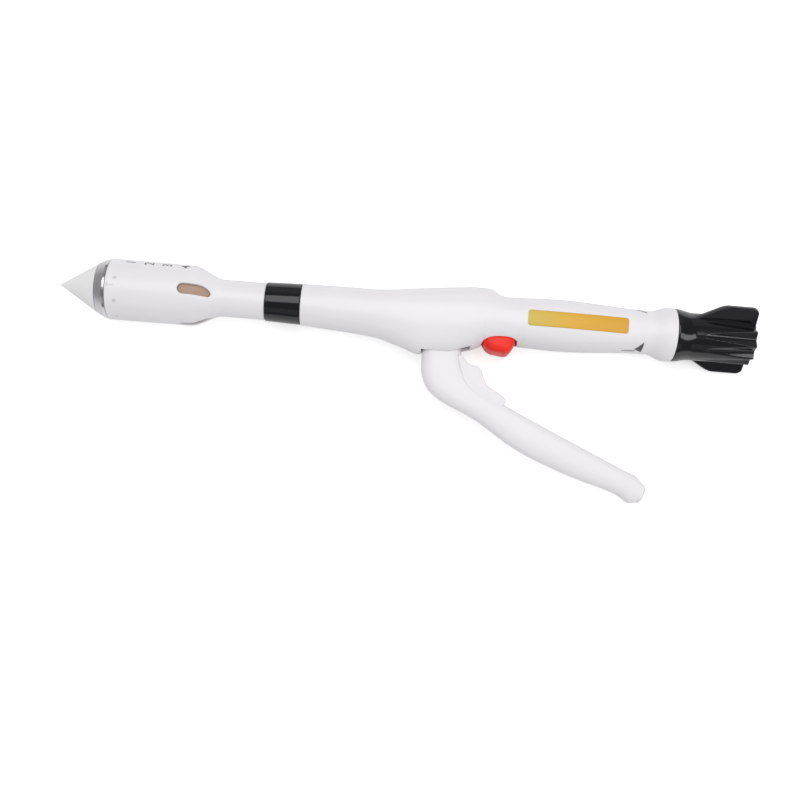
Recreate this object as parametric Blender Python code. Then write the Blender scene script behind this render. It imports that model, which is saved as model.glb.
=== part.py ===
"""A single-use circular stapler, lying on its side.

X runs along the barrel from the anvil's nose to the adjusting knob, and x = 0 is the casing's open rim.
+Y is the hump's side, -Y is the firing lever's side, and Z runs through the instrument's two flanks.
An empty carries everything, so that the finished stapler lies on z = 0 with its box centred on the origin.
"""

import math

import bmesh
import bpy
from mathutils import Matrix, Vector

MM = 0.001
GAP = 0.3 * MM
SIDES = 40
CASE_SIDES = 48
BUSH_SIDES = 32
SMALL_SIDES = 24
POST_SIDES = 16

# Head casing and barrel
CASING_RIM_R = 16.6 * MM
CASING_REAR_R = 0.985 * CASING_RIM_R
CASING_LENGTH = 43.9 * MM
CASING_WALL = 1.5 * MM
CASING_EDGE = 0.25 * MM
TAPER_LENGTH = 17.5 * MM
BARREL_R = 10.1 * MM
BARREL_LENGTH = 22.8 * MM
SPIGOT_R = 8.9 * MM
SPIGOT_WALL = 1.7 * MM
SPIGOT_LENGTH = 27.1 * MM
WINDOW_LEAD = 5.5 * MM
WINDOW_LENGTH = 17.5 * MM
WINDOW_WIDTH = 6.0 * MM
WINDOW_SLANT = 7.5 * MM
WINDOW_CORNER_R = 1.6 * MM
WINDOW_COUNT = 4

# Black band between barrel and housing
BAND_LENGTH = 19.1 * MM
BAND_REAR_STEP = 0.1 * MM
BAND_FRONT_R = 10.6 * MM

# Anvil
NOSE_LENGTH = 21.6 * MM
NOSE_TIP_R = 0.9 * MM
NOSE_BASE_R = 0.83 * CASING_RIM_R
NOSE_SOCKET_DEPTH = 7.7 * MM
ANVIL_DEPTH = 6.0 * MM
ANVIL_BAND = 1.5 * MM
ANVIL_R = CASING_RIM_R - 0.4 * MM
ANVIL_FLOOR = 2.6 * MM
SHAFT_R = 2.6 * MM
SHAFT_FLANGE_R = 4.5 * MM
SHAFT_FLANGE = 1.6 * MM
SHAFT_END = 58.4 * MM
STUD_R = 1.2 * MM
STUD_LENGTH = 7.7 * MM
TIE_ROD_R = 2.3 * MM
SCREW_R = 2.1 * MM
SCREW_LEAD_IN = 6.0 * MM
ANVIL_TRAVEL = 25.0 * MM

# Staple cartridge and knife
CARTRIDGE_LENGTH = 14.0 * MM
CARTRIDGE_WALL = 3.2 * MM
STAPLE_COUNT = 16
STAPLE_ROWS = 2
SLOT_LENGTH = 3.6 * MM
SLOT_WIDTH = 0.8 * MM
ROW_PITCH = 1.4 * MM
FINGER_CLEARANCE = 0.15 * MM
KNIFE_CLEARANCE = 0.4 * MM
KNIFE_WALL = 0.4 * MM
KNIFE_SETBACK = 1.2 * MM
KNIFE_EDGE = 1.0 * MM
PUSHER_RING = 4.3 * MM

# Driver and push tube
DRIVER_LENGTH = 33.5 * MM
DRIVER_CLEARANCE = 0.5 * MM
KNIFE_SEAT_DEPTH = 6.5 * MM
DRIVER_HOLLOW_R = 7.0 * MM
TUBE_R = 3.6 * MM
TUBE_WALL = 0.7 * MM
TUBE_GRIP = 13.6 * MM
RUNNING_GAP = 0.3 * MM

# Firing lever
PIVOT_SETBACK = 76.5 * MM
PIVOT_DROP = 13.0 * MM
PIVOT_PIN_R = 1.6 * MM
PIVOT_PIN_HALF = 10.0 * MM
HUB_R = 3.1 * MM
FORK_PAD_R = 2.4 * MM
FORK_ARM_HALF = 1.8 * MM
FORK_INNER = 5.2 * MM
FORK_OUTER = 7.7 * MM
LEVER_SWING = math.radians(20.0)
LEVER_REACH = 112.0 * MM
LEVER_HALF = 6.0 * MM
LEVER_ROUNDING = 3.4
TIP_ROUNDING = 2.2 * MM
INSERT_HALF = 4.8 * MM
INSERT_BEVEL = 0.5 * MM

# Push collar
COLLAR_CORE_R = 4.9 * MM
COLLAR_FLANGE_R = 7.6 * MM
COLLAR_FLANGE = 2.0 * MM
COLLAR_LASH = 0.5 * MM
COLLAR_FRONT = 5.5 * MM
COLLAR_REAR = 2.0 * MM
SPRING_R = 5.7 * MM
SPRING_WIRE_R = 0.45 * MM
SPRING_TURNS = 12
COIL_STEPS = 10

# Housing
HOUSING_LENGTH = 202.4 * MM
HOUSING_WALL = 2.0 * MM
FRONT_R = 11.3 * MM
HUMP_TOP = 17.2 * MM
BELLY_DEPTH = 21.9 * MM
PALM_R = 14.0 * MM
WRIST_R = 11.9 * MM
REAR_R = 14.6 * MM
BELLY_HALF = 14.2 * MM
PALM_HALF = 13.4 * MM
SECTION_POWER = 2.35
ROUND_END = 20.0 * MM
HOUSING_SIDES = 20
COLLAR_SEAT = 6.7 * MM
BULKHEAD = 5.5 * MM
LEVER_SLOT_REAR = 16.6 * MM
LEVER_SLOT_FRONT = 10.0 * MM
SLOT_MARGIN = 0.4 * MM
PEG_R = 1.3 * MM
PEG_LENGTH = 3.6 * MM
POST_R = 2.6 * MM
BOSS_R = 3.0 * MM
TRIM = 1.0 * MM

# Safety catch
CATCH_SETBACK = 26.3 * MM
CATCH_RISE = 6.4 * MM
CATCH_HALF = 8.0 * MM
CATCH_TAB = 17.8 * MM
CATCH_SWING = math.radians(18.0)
CATCH_PIN_R = 1.25 * MM
CATCH_PIN_HALF = 9.6 * MM
CATCH_LUG_R = 2.9 * MM
CATCH_LUG_HALF = 6.0 * MM
CATCH_BEVEL = 1.3 * MM
CATCH_SLOT_FRONT = 4.2 * MM
CATCH_SLOT_REAR = 15.5 * MM

# Guides
GUIDE_LENGTH = 8.0 * MM
FRONT_GUIDE_SETBACK = 1.0 * MM
REAR_GUIDE_LENGTH = 12.0 * MM
REAR_GUIDE_FLANGE = 1.7 * MM
SCREW_GUIDE_SETBACK = 45.8 * MM
SCREW_GUIDE_R = 8.9 * MM
RIB = 1.7 * MM
RIB_OVERLAP = 1.4 * MM

# Adjusting knob
KNOB_LENGTH = 42.9 * MM
KNOB_FRONT_R = 14.5 * MM
KNOB_R = 12.9 * MM
KNOB_WAIST = 10.0 * MM
KNOB_EDGE = 0.6 * MM
FLUTE_DEPTH = 2.4 * MM
FLUTE_START = 14.5 * MM
FLUTE_COUNT = 10
FLUTE_STEPS = 8
WING_R = 20.6 * MM
WING_RISE = 16.5 * MM
WING_CORNER = 3.4 * MM
WING_THICKNESS = 3.2 * MM
WING_BEVEL = 0.7 * MM
WING_ANGLE = math.radians(47.0)
NECK_R = 7.6 * MM
NECK_LENGTH = 10.7 * MM
RING_GROOVE_R = 6.3 * MM
RING_R = 9.8 * MM
RING_WIDTH = 2.0 * MM
RING_OPENING = math.radians(50.0)
WASHER = 0.9 * MM
NUT_R = 5.0 * MM
NUT_LENGTH = 20.0 * MM
NUT_CLEARANCE = 0.2 * MM
SCREW_ROOM = 0.5 * MM
SCREW_BACK_ROOM = 3.0 * MM
KNOB_BACK_WALL = 3.8 * MM

# Places that follow from the sizes above
CARTRIDGE_FACE = GAP
CASING_BORE = CASING_RIM_R - CASING_WALL
CARTRIDGE_BORE = CASING_BORE - GAP - CARTRIDGE_WALL
KNIFE_R = CARTRIDGE_BORE - KNIFE_CLEARANCE
TAPER_END = CASING_LENGTH + TAPER_LENGTH
BARREL_END = TAPER_END + BARREL_LENGTH
SPIGOT_END = BARREL_END + SPIGOT_LENGTH
BAND_FRONT = BARREL_END + GAP
HOUSING_FRONT = BAND_FRONT + BAND_LENGTH + GAP
HOUSING_REAR = HOUSING_FRONT + HOUSING_LENGTH
KNOB_FRONT = HOUSING_REAR + GAP
KNOB_REAR = KNOB_FRONT + KNOB_LENGTH
PIVOT_X = HOUSING_FRONT + PIVOT_SETBACK
PIVOT_Y = -PIVOT_DROP
CATCH_X = PIVOT_X + CATCH_SETBACK
CATCH_Y = PIVOT_Y + CATCH_RISE
FORK_REACH = PIVOT_DROP / math.cos(LEVER_SWING / 2)
PUSH_TRAVEL = 2 * FORK_REACH * math.sin(LEVER_SWING / 2)
FORK_X = PIVOT_X + PUSH_TRAVEL / 2
ROW_MIDDLE = (CARTRIDGE_BORE + CASING_BORE - GAP) / 2
PUSHER_FRONT = CARTRIDGE_FACE + CARTRIDGE_LENGTH + PUSH_TRAVEL + GAP
DRIVER_FRONT = PUSHER_FRONT + PUSHER_RING + GAP
DRIVER_REAR = DRIVER_FRONT + DRIVER_LENGTH
TUBE_FRONT = DRIVER_REAR - TUBE_GRIP
TUBE_BORE = TUBE_R - TUBE_WALL
SCREW_GUIDE_X = HOUSING_REAR - SCREW_GUIDE_SETBACK
SCREW_FRONT = SCREW_GUIDE_X - SCREW_LEAD_IN
SCREW_REAR = KNOB_REAR - KNOB_BACK_WALL - SCREW_BACK_ROOM


def material(name, color, roughness, metallic=0.0):
    """A Principled material in the part's colour."""
    made = bpy.data.materials.new(name)
    made.use_nodes = True
    shader = made.node_tree.nodes["Principled BSDF"]
    shader.inputs["Base Color"].default_value = (*color, 1.0)
    shader.inputs["Roughness"].default_value = roughness
    shader.inputs["Metallic"].default_value = metallic
    return made


def empty(name, place, parent=None):
    """A bare frame that pieces hang on."""
    made = bpy.data.objects.new(name, None)
    made.location = place
    made.parent = parent
    bpy.context.scene.collection.objects.link(made)
    return made


def finish(name, bm, pivot, surface=None):
    """Turn a bmesh in the stapler's own coordinates into an object carried by a pivot."""
    bmesh.ops.recalc_face_normals(bm, faces=bm.faces)
    mesh = bpy.data.meshes.new(name)
    bm.to_mesh(mesh)
    bm.free()
    mesh.shade_smooth()
    mesh.set_sharp_from_angle(angle=math.radians(35))
    made = bpy.data.objects.new(name, mesh)
    bpy.context.scene.collection.objects.link(made)
    made.parent = pivot
    made.location = -pivot.location if pivot.parent else (0, 0, 0)
    if surface:
        mesh.materials.append(surface)
    else:
        made.hide_render = True
        made.display_type = "WIRE"
    return made


def boolean(body, tool, operation, solver="EXACT"):
    """Join, cut or trim a body with a hidden tool object."""
    step = body.modifiers.new(operation.lower(), "BOOLEAN")
    step.operation = operation
    step.solver = solver
    step.object = tool


def bevel(body, width, segments=2, angle=40):
    """Round the sharp edges of a body."""
    step = body.modifiers.new("rounding", "BEVEL")
    step.width = width
    step.segments = segments
    step.limit_method = "ANGLE"
    step.angle_limit = math.radians(angle)


def add_turned(bm, profile, sides=SIDES):
    """Spin a closed (x, radius) outline about the barrel's axis."""
    points = [bm.verts.new((x, 0, radius)) for x, radius in profile]
    edges = []
    for start, end in zip(points, points[1:] + points[:1]):
        if start.co.z > 0 or end.co.z > 0:
            edges.append(bm.edges.new((start, end)))
    bmesh.ops.spin(
        bm,
        geom=points + edges,
        cent=(0, 0, 0),
        axis=(1, 0, 0),
        angle=2 * math.pi,
        steps=sides,
        use_merge=True,
    )
    bmesh.ops.remove_doubles(bm, verts=bm.verts, dist=0.001 * MM)


def turned(name, profile, pivot, surface=None, sides=SIDES):
    """A solid of revolution about the barrel's axis."""
    bm = bmesh.new()
    add_turned(bm, profile, sides)
    return finish(name, bm, pivot, surface)


def add_loft(bm, rings):
    """Skin closed rings of equal length and cap both ends."""
    rows = [[bm.verts.new(point) for point in ring] for ring in rings]
    count = len(rows[0])
    for row, following in zip(rows, rows[1:]):
        for i in range(count):
            j = (i + 1) % count
            bm.faces.new((row[i], row[j], following[j], following[i]))
    bm.faces.new(rows[0])
    bm.faces.new(rows[-1])
    bmesh.ops.triangulate(bm, faces=bm.faces)


def loft(name, rings, pivot, surface=None):
    """A skinned solid."""
    bm = bmesh.new()
    add_loft(bm, rings)
    return finish(name, bm, pivot, surface)


def add_plate(bm, outline, low, high, turn=None):
    """Extrude an (x, y) outline from z = low to z = high, then turn it if asked."""
    start = len(bm.verts)
    floor = [bm.verts.new((x, y, low)) for x, y in outline]
    roof = [bm.verts.new((x, y, high)) for x, y in outline]
    for i in range(len(outline)):
        j = (i + 1) % len(outline)
        bm.faces.new((floor[i], floor[j], roof[j], roof[i]))
    bm.faces.new(floor)
    bm.faces.new(roof)
    if turn:
        bm.verts.ensure_lookup_table()
        bmesh.ops.transform(bm, matrix=turn, verts=bm.verts[start:])


def circle(x, y, radius, count=SMALL_SIDES):
    """The outline of a round boss, pin or hole that runs along Z."""
    steps = [2 * math.pi * i / count for i in range(count)]
    return [(x + radius * math.cos(a), y + radius * math.sin(a)) for a in steps]


def box(x0, x1, y0, y1):
    """A rectangle's outline."""
    return [(x0, y0), (x1, y0), (x1, y1), (x0, y1)]


def plates(name, shapes, pivot, surface=None):
    """One object from several extruded outlines, each (outline, low, high)."""
    bm = bmesh.new()
    for outline, low, high in shapes:
        add_plate(bm, outline, low, high)
    return finish(name, bm, pivot, surface)


def ease(t):
    """A smooth step from 0 to 1."""
    t = min(max(t, 0.0), 1.0)
    return t * t * (3 - 2 * t)


def flowing(stations, x):
    """A smooth curve through (x, value) stations that never overshoots them."""
    xs = [station[0] for station in stations]
    values = [station[1] for station in stations]
    slopes = [(values[i + 1] - values[i]) / (xs[i + 1] - xs[i]) for i in range(len(xs) - 1)]
    tangents = [slopes[0]]
    for before, after in zip(slopes, slopes[1:]):
        level = before * after <= 0
        tangents.append(0.0 if level else 2 * before * after / (before + after))
    tangents.append(slopes[-1])
    i = 0
    while i < len(xs) - 2 and x > xs[i + 1]:
        i += 1
    span = xs[i + 1] - xs[i]
    t = min(max((x - xs[i]) / span, 0.0), 1.0)
    rise = ease(t)
    bend = t * (1 - t)
    start = bend * (1 - t) * span * tangents[i]
    end = bend * t * span * tangents[i + 1]
    return values[i] + rise * (values[i + 1] - values[i]) + start - end


def casing_radius(x):
    """The outer radius of the casing's barrel and taper at x."""
    if x <= CASING_LENGTH:
        return CASING_RIM_R + (CASING_REAR_R - CASING_RIM_R) * x / CASING_LENGTH
    fall = ease((x - CASING_LENGTH) / TAPER_LENGTH)
    return CASING_REAR_R + (BARREL_R - CASING_REAR_R) * fall


def spread(start, end, count):
    """Evenly spaced values from start to end."""
    return [start + (end - start) * i / count for i in range(count + 1)]


def head_casing(pivot, surface):
    """The casing, its taper, the barrel and the spigot that plugs into the housing."""
    taper = spread(CASING_LENGTH, TAPER_END, 8)
    outer = [(x, casing_radius(x)) for x in taper]
    inner = [(x, radius - CASING_WALL) for x, radius in reversed(outer)]
    spigot_bore = SPIGOT_R - SPIGOT_WALL
    profile = [(0, CASING_RIM_R - CASING_WALL), (0, CASING_RIM_R - CASING_EDGE), (CASING_EDGE, CASING_RIM_R)]
    profile += outer
    profile += [(BARREL_END, BARREL_R), (BARREL_END, SPIGOT_R), (SPIGOT_END, SPIGOT_R)]
    profile += [(SPIGOT_END, spigot_bore), (BARREL_END - SPIGOT_WALL, spigot_bore)]
    profile += [(BARREL_END - SPIGOT_WALL, BARREL_R - CASING_WALL)]
    profile += inner
    casing = turned("head_casing", profile, pivot, surface, sides=CASE_SIDES)
    boolean(casing, casing_windows(pivot), "DIFFERENCE")
    return casing


def casing_windows(pivot):
    """The windows spaced round the casing's rear: round in front, slanting behind."""
    half = WINDOW_WIDTH / 2
    front = CASING_LENGTH - WINDOW_LEAD + half
    rear = front - half + WINDOW_LENGTH
    rise = WINDOW_WIDTH - WINDOW_CORNER_R
    outline = [(front + half * math.cos(a), half * math.sin(a)) for a in spread(math.pi / 2, 3 * math.pi / 2, 6)]
    for a in spread(-math.pi / 2, 0.0, 2):
        outline.append((rear + WINDOW_CORNER_R * (math.cos(a) - 1), -half + WINDOW_CORNER_R * (math.sin(a) + 1)))
    for a in spread(0.0, math.pi / 2, 5)[1:]:
        outline.append((rear + WINDOW_SLANT * (math.cos(a) - 1), half + rise * (math.sin(a) - 1)))
    bm = bmesh.new()
    for i in range(WINDOW_COUNT):
        turn = Matrix.Rotation(2 * math.pi * i / WINDOW_COUNT, 4, "X")
        add_plate(bm, outline, BARREL_R - CASING_WALL, CASING_RIM_R + CASING_WALL, turn)
    return finish("casing_windows", bm, pivot)


def band_sleeve(pivot, surface):
    """The black band over the joint between barrel and housing."""
    bore = SPIGOT_R + GAP
    rear = BAND_FRONT + BAND_LENGTH
    edge = CASING_EDGE
    profile = [(BAND_FRONT, bore), (BAND_FRONT, BAND_FRONT_R - edge), (BAND_FRONT + edge, BAND_FRONT_R)]
    profile += [(rear - edge, FRONT_R - BAND_REAR_STEP), (rear, FRONT_R - BAND_REAR_STEP - edge), (rear, bore)]
    return turned("band_sleeve", profile, pivot, surface, sides=CASE_SIDES)


def anvil_nose(pivot, surface):
    """The blunt white cone that leads the instrument in."""
    base = -GAP - ANVIL_DEPTH - GAP
    tip = base - NOSE_LENGTH
    round_off = NOSE_TIP_R / 2
    socket = SHAFT_R + GAP
    profile = [(tip, 0), (tip + round_off / 3, round_off), (tip + NOSE_TIP_R, NOSE_TIP_R), (base, NOSE_BASE_R)]
    profile += [(base, socket), (base - NOSE_SOCKET_DEPTH, socket), (base - NOSE_SOCKET_DEPTH, 0)]
    return turned("anvil_nose", profile, pivot, surface, sides=CASE_SIDES)


def anvil_head(pivot, surface):
    """The steel anvil: a conical rim, a polished band and the recess for the cutting ring."""
    face = -GAP
    front = face - ANVIL_DEPTH
    band = face - ANVIL_BAND
    recess = KNIFE_R + GAP
    bore = SHAFT_R + GAP
    edge = CASING_EDGE
    profile = [(front, bore), (front, NOSE_BASE_R + edge / 2), (band, ANVIL_R - edge), (band + edge, ANVIL_R)]
    profile += [(face - edge, ANVIL_R), (face, ANVIL_R - edge), (face, recess)]
    profile += [(front + ANVIL_FLOOR, recess), (front + ANVIL_FLOOR, bore)]
    return turned("anvil_head", profile, pivot, surface, sides=CASE_SIDES)


def cutting_ring(pivot, surface):
    """The plastic ring that the knife closes round."""
    floor = -GAP - ANVIL_DEPTH + ANVIL_FLOOR + GAP
    face = -2 * GAP
    outer = KNIFE_R - KNIFE_WALL - GAP
    profile = [(floor, SHAFT_R + GAP), (floor, outer), (face, outer), (face, SHAFT_R + GAP)]
    return turned("cutting_ring", profile, pivot, surface)


def anvil_shaft(pivot, surface):
    """The steel shaft that carries the anvil, with a flange that holds the cutting ring."""
    front = -GAP - ANVIL_DEPTH - GAP - NOSE_SOCKET_DEPTH + GAP
    flange = -GAP
    flange_rear = flange + SHAFT_FLANGE
    chamfer = SHAFT_R / 5
    hole = STUD_R + GAP
    depth = STUD_LENGTH + GAP
    profile = [(front, 0), (front, SHAFT_R - chamfer), (front + chamfer, SHAFT_R), (flange, SHAFT_R)]
    profile += [(flange, SHAFT_FLANGE_R), (flange_rear, SHAFT_FLANGE_R), (flange_rear, SHAFT_R)]
    profile += [(SHAFT_END, SHAFT_R), (SHAFT_END, hole), (SHAFT_END - depth, hole), (SHAFT_END - depth, 0)]
    return turned("anvil_shaft", profile, pivot, surface, sides=SMALL_SIDES)


def studded_rod(name, start, end, radius, pivot, surface, socket=False):
    """A rod with a stud at its front end and, if asked, a socket for the next rod's stud."""
    profile = [(start - STUD_LENGTH, 0), (start - STUD_LENGTH, STUD_R), (start, STUD_R), (start, radius)]
    profile += [(end, radius)]
    if socket:
        hole = STUD_R + GAP
        depth = STUD_LENGTH + GAP
        profile += [(end, hole), (end - depth, hole), (end - depth, 0)]
    else:
        profile += [(end, 0)]
    return turned(name, profile, pivot, surface, sides=SMALL_SIDES)


def staple_places():
    """(radius, angle) of each staple, in staggered rows."""
    for row in range(STAPLE_ROWS):
        radius = ROW_MIDDLE + (row - (STAPLE_ROWS - 1) / 2) * ROW_PITCH
        for i in range(STAPLE_COUNT):
            yield radius, 2 * math.pi * (i + row / STAPLE_ROWS) / STAPLE_COUNT


def staple_blades(name, start, end, clearance, pivot):
    """Flat blades at every staple's place, from x = start to x = end."""
    bm = bmesh.new()
    half_length = SLOT_LENGTH / 2 - clearance
    half_width = SLOT_WIDTH / 2 - clearance
    for radius, angle in staple_places():
        outline = box(start, end, -half_length, half_length)
        turn = Matrix.Rotation(angle, 4, "X")
        add_plate(bm, outline, radius - half_width, radius + half_width, turn)
    return finish(name, bm, pivot)


def staple_cartridge(pivot, surface):
    """The ring that holds two staggered rows of staples in slots."""
    front = CARTRIDGE_FACE
    rear = front + CARTRIDGE_LENGTH
    outer = CASING_BORE - GAP
    profile = [(front, CARTRIDGE_BORE), (front, outer), (rear, outer), (rear, CARTRIDGE_BORE)]
    cartridge = turned("staple_cartridge", profile, pivot, surface, sides=CASE_SIDES)
    slots = staple_blades("staple_slots", front - TRIM, rear + TRIM, 0.0, pivot)
    boolean(cartridge, slots, "DIFFERENCE")
    return cartridge


def staple_pusher(pivot, surface):
    """The ring of fingers that drives every staple out at once."""
    rear = PUSHER_FRONT + PUSHER_RING
    outer = CASING_BORE - DRIVER_CLEARANCE
    profile = [(PUSHER_FRONT, CARTRIDGE_BORE), (PUSHER_FRONT, outer), (rear, outer), (rear, CARTRIDGE_BORE)]
    pusher = turned("staple_pusher", profile, pivot, surface)
    finger_tip = CARTRIDGE_FACE + PUSH_TRAVEL + GAP
    fingers = staple_blades("pusher_fingers", finger_tip, PUSHER_FRONT + TRIM, FINGER_CLEARANCE, pivot)
    boolean(pusher, fingers, "UNION")
    return pusher


def circular_knife(pivot, surface):
    """The thin round blade inside the cartridge."""
    front = CARTRIDGE_FACE + KNIFE_SETBACK
    rear = DRIVER_FRONT + KNIFE_SEAT_DEPTH - GAP
    inner = KNIFE_R - KNIFE_WALL
    keen = KNIFE_WALL / 4
    profile = [(front, KNIFE_R - keen), (front, KNIFE_R), (rear, KNIFE_R), (rear, inner), (front + KNIFE_EDGE, inner)]
    return turned("circular_knife", profile, pivot, surface, sides=CASE_SIDES)


def driver_sleeve(pivot, surface):
    """The tan driver that shows through the windows and carries the knife."""
    skin = [DRIVER_FRONT, CASING_LENGTH] + spread(CASING_LENGTH, DRIVER_REAR, 5)[1:]
    wall = CASING_WALL + DRIVER_CLEARANCE
    straight = CASING_BORE - DRIVER_CLEARANCE
    outer = [(x, min(straight, casing_radius(x) - wall)) for x in skin]
    seat = DRIVER_FRONT + KNIFE_SEAT_DEPTH
    tube_seat = TUBE_R + GAP
    stop = TUBE_FRONT - GAP
    profile = outer + [(DRIVER_REAR, tube_seat), (stop, tube_seat), (stop, DRIVER_HOLLOW_R)]
    profile += [(seat, DRIVER_HOLLOW_R), (seat, KNIFE_R + GAP), (DRIVER_FRONT, KNIFE_R + GAP)]
    return turned("driver_sleeve", profile, pivot, surface)


def push_tube(pivot, surface):
    """The steel tube that carries the firing stroke to the head."""
    rear = FORK_X + FORK_PAD_R + COLLAR_LASH + COLLAR_FLANGE + COLLAR_REAR / 2
    profile = [(TUBE_FRONT, TUBE_BORE), (TUBE_FRONT, TUBE_R), (rear, TUBE_R), (rear, TUBE_BORE)]
    return turned("push_tube", profile, pivot, surface, sides=SMALL_SIDES)


def collar_faces():
    """The x of the collar's four flange faces, from front to rear."""
    half = FORK_PAD_R + COLLAR_LASH
    front = FORK_X - half
    rear = FORK_X + half
    return front - COLLAR_FLANGE, front, rear, rear + COLLAR_FLANGE


def push_collar(pivot, surface):
    """The spool on the push tube that the lever's fork drives."""
    first, second, third, fourth = collar_faces()
    bore = TUBE_R + GAP
    start = first - COLLAR_FRONT
    end = fourth + COLLAR_REAR
    profile = [(start, bore), (start, COLLAR_CORE_R)]
    profile += [(first, COLLAR_CORE_R), (first, COLLAR_FLANGE_R), (second, COLLAR_FLANGE_R), (second, COLLAR_CORE_R)]
    profile += [(third, COLLAR_CORE_R), (third, COLLAR_FLANGE_R), (fourth, COLLAR_FLANGE_R), (fourth, COLLAR_CORE_R)]
    profile += [(end, COLLAR_CORE_R), (end, bore)]
    return turned("push_collar", profile, pivot, surface, sides=BUSH_SIDES)


def front_guide(pivot, surface):
    """The bush that centres the push tube in the barrel."""
    start = TAPER_END + FRONT_GUIDE_SETBACK
    end = start + GUIDE_LENGTH
    outer = BARREL_R - CASING_WALL - GAP
    bore = TUBE_R + RUNNING_GAP
    profile = [(start, bore), (start, outer), (end, outer), (end, bore)]
    return turned("front_guide", profile, pivot, surface, sides=BUSH_SIDES)


def rear_guide(pivot, surface):
    """The flanged bush in the spigot, which is also the return spring's seat."""
    start = SPIGOT_END + GAP - REAR_GUIDE_LENGTH
    shoulder = SPIGOT_END + GAP
    end = shoulder + REAR_GUIDE_FLANGE
    bore = TUBE_R + RUNNING_GAP
    body_r = SPIGOT_R - SPIGOT_WALL - GAP
    flange_r = SPIGOT_R - GAP
    profile = [(start, bore), (start, body_r), (shoulder, body_r), (shoulder, flange_r), (end, flange_r), (end, bore)]
    return turned("rear_guide", profile, pivot, surface, sides=BUSH_SIDES)


def screw_guide(pivot, surface):
    """The bush held between two ribs in the grip, which the lead screw slides through."""
    end = SCREW_GUIDE_X + GUIDE_LENGTH
    bore = TIE_ROD_R + RUNNING_GAP
    profile = [(SCREW_GUIDE_X, bore), (SCREW_GUIDE_X, SCREW_GUIDE_R), (end, SCREW_GUIDE_R), (end, bore)]
    return turned("screw_guide", profile, pivot, surface, sides=BUSH_SIDES)


def return_spring(pivot, surface):
    """The coil between the rear guide and the collar."""
    start = SPIGOT_END + GAP + REAR_GUIDE_FLANGE + GAP + SPRING_WIRE_R
    end = collar_faces()[0] - GAP - SPRING_WIRE_R
    coil = bpy.data.curves.new("return_spring", "CURVE")
    coil.dimensions = "3D"
    coil.bevel_depth = SPRING_WIRE_R
    coil.bevel_resolution = 1
    coil.use_fill_caps = True
    steps = SPRING_TURNS * COIL_STEPS
    line = coil.splines.new("POLY")
    line.points.add(steps)
    for i in range(steps + 1):
        angle = 2 * math.pi * SPRING_TURNS * i / steps
        x = start + (end - start) * i / steps
        line.points[i].co = (x, SPRING_R * math.cos(angle), SPRING_R * math.sin(angle), 1.0)
    coil.materials.append(surface)
    made = bpy.data.objects.new("return_spring", coil)
    bpy.context.scene.collection.objects.link(made)
    made.parent = pivot
    return made


def along_housing(share):
    """The x at a share of the way from the lever's pivot to the housing's front (-1) or rear (1)."""
    reach = HOUSING_REAR - PIVOT_X if share > 0 else PIVOT_X - HOUSING_FRONT
    return PIVOT_X + share * reach


def housing_edges(x):
    """The housing's top, bottom and half width at x."""
    top = [(-1, FRONT_R), (-0.5, FRONT_R), (-0.13, (FRONT_R + HUMP_TOP) / 2), (0.08, 0.96 * HUMP_TOP)]
    top += [(0.14, HUMP_TOP), (0.185, HUMP_TOP), (0.215, 0.955 * HUMP_TOP), (0.246, 0.99 * PALM_R)]
    top += [(0.285, 0.93 * PALM_R), (0.51, PALM_R), (0.893, WRIST_R), (0.972, REAR_R), (1, REAR_R)]
    low = [(-1, FRONT_R), (-0.482, 1.27 * FRONT_R), (-0.274, 0.86 * BELLY_DEPTH), (-0.143, BELLY_DEPTH)]
    low += [(0.018, BELLY_DEPTH), (0.115, 0.85 * BELLY_DEPTH), (0.185, 1.04 * PALM_R), (0.27, 0.94 * PALM_R)]
    low += [(0.51, PALM_R), (0.893, 0.97 * WRIST_R), (0.972, 1.014 * REAR_R), (1, REAR_R)]
    half = [(-1, FRONT_R), (0, BELLY_HALF), (0.27, PALM_HALF), (0.51, PALM_HALF)]
    half += [(0.893, WRIST_R), (0.972, REAR_R), (1, REAR_R)]
    edges = (top, low, half)
    return [flowing([(along_housing(share), value) for share, value in edge], x) for edge in edges]


def housing_point(x, angle, inset):
    """(y, z) on the housing's skin, moved inwards by inset."""
    top, low, half = housing_edges(x)
    inner = min(x - HOUSING_FRONT, HOUSING_REAR - x) / ROUND_END
    power = 2 + (SECTION_POWER - 2) * ease(inner)
    across = math.cos(angle)
    along = math.sin(angle)
    reach = top if along > 0 else low
    y = math.copysign(abs(along) ** (2 / power), along) * (reach - inset)
    z = math.copysign(abs(across) ** (2 / power), across) * (half - inset)
    return y, z


def housing_skin(name, inset, past, pivot):
    """The housing's outline as a solid, moved inwards by inset and running past both ends."""
    rings = []
    for x in housing_stations(past):
        angles = spread(0.0, 2 * math.pi, HOUSING_SIDES)[:-1]
        rings.append([(x, *housing_point(x, angle, inset)) for angle in angles])
    return loft(name, rings, pivot)


def housing_stations(past):
    """The x of each section, closer where the outline bends most, and past both ends."""
    bend = along_housing(0.175)
    after = along_housing(0.3)
    wrist = along_housing(0.9)
    stations = [HOUSING_FRONT - past] + spread(HOUSING_FRONT, bend, 16)
    stations += spread(bend, after, 5)[1:] + spread(after, wrist, 8)[1:]
    return stations + spread(wrist, HOUSING_REAR, 5)[1:] + [HOUSING_REAR + past]


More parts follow.
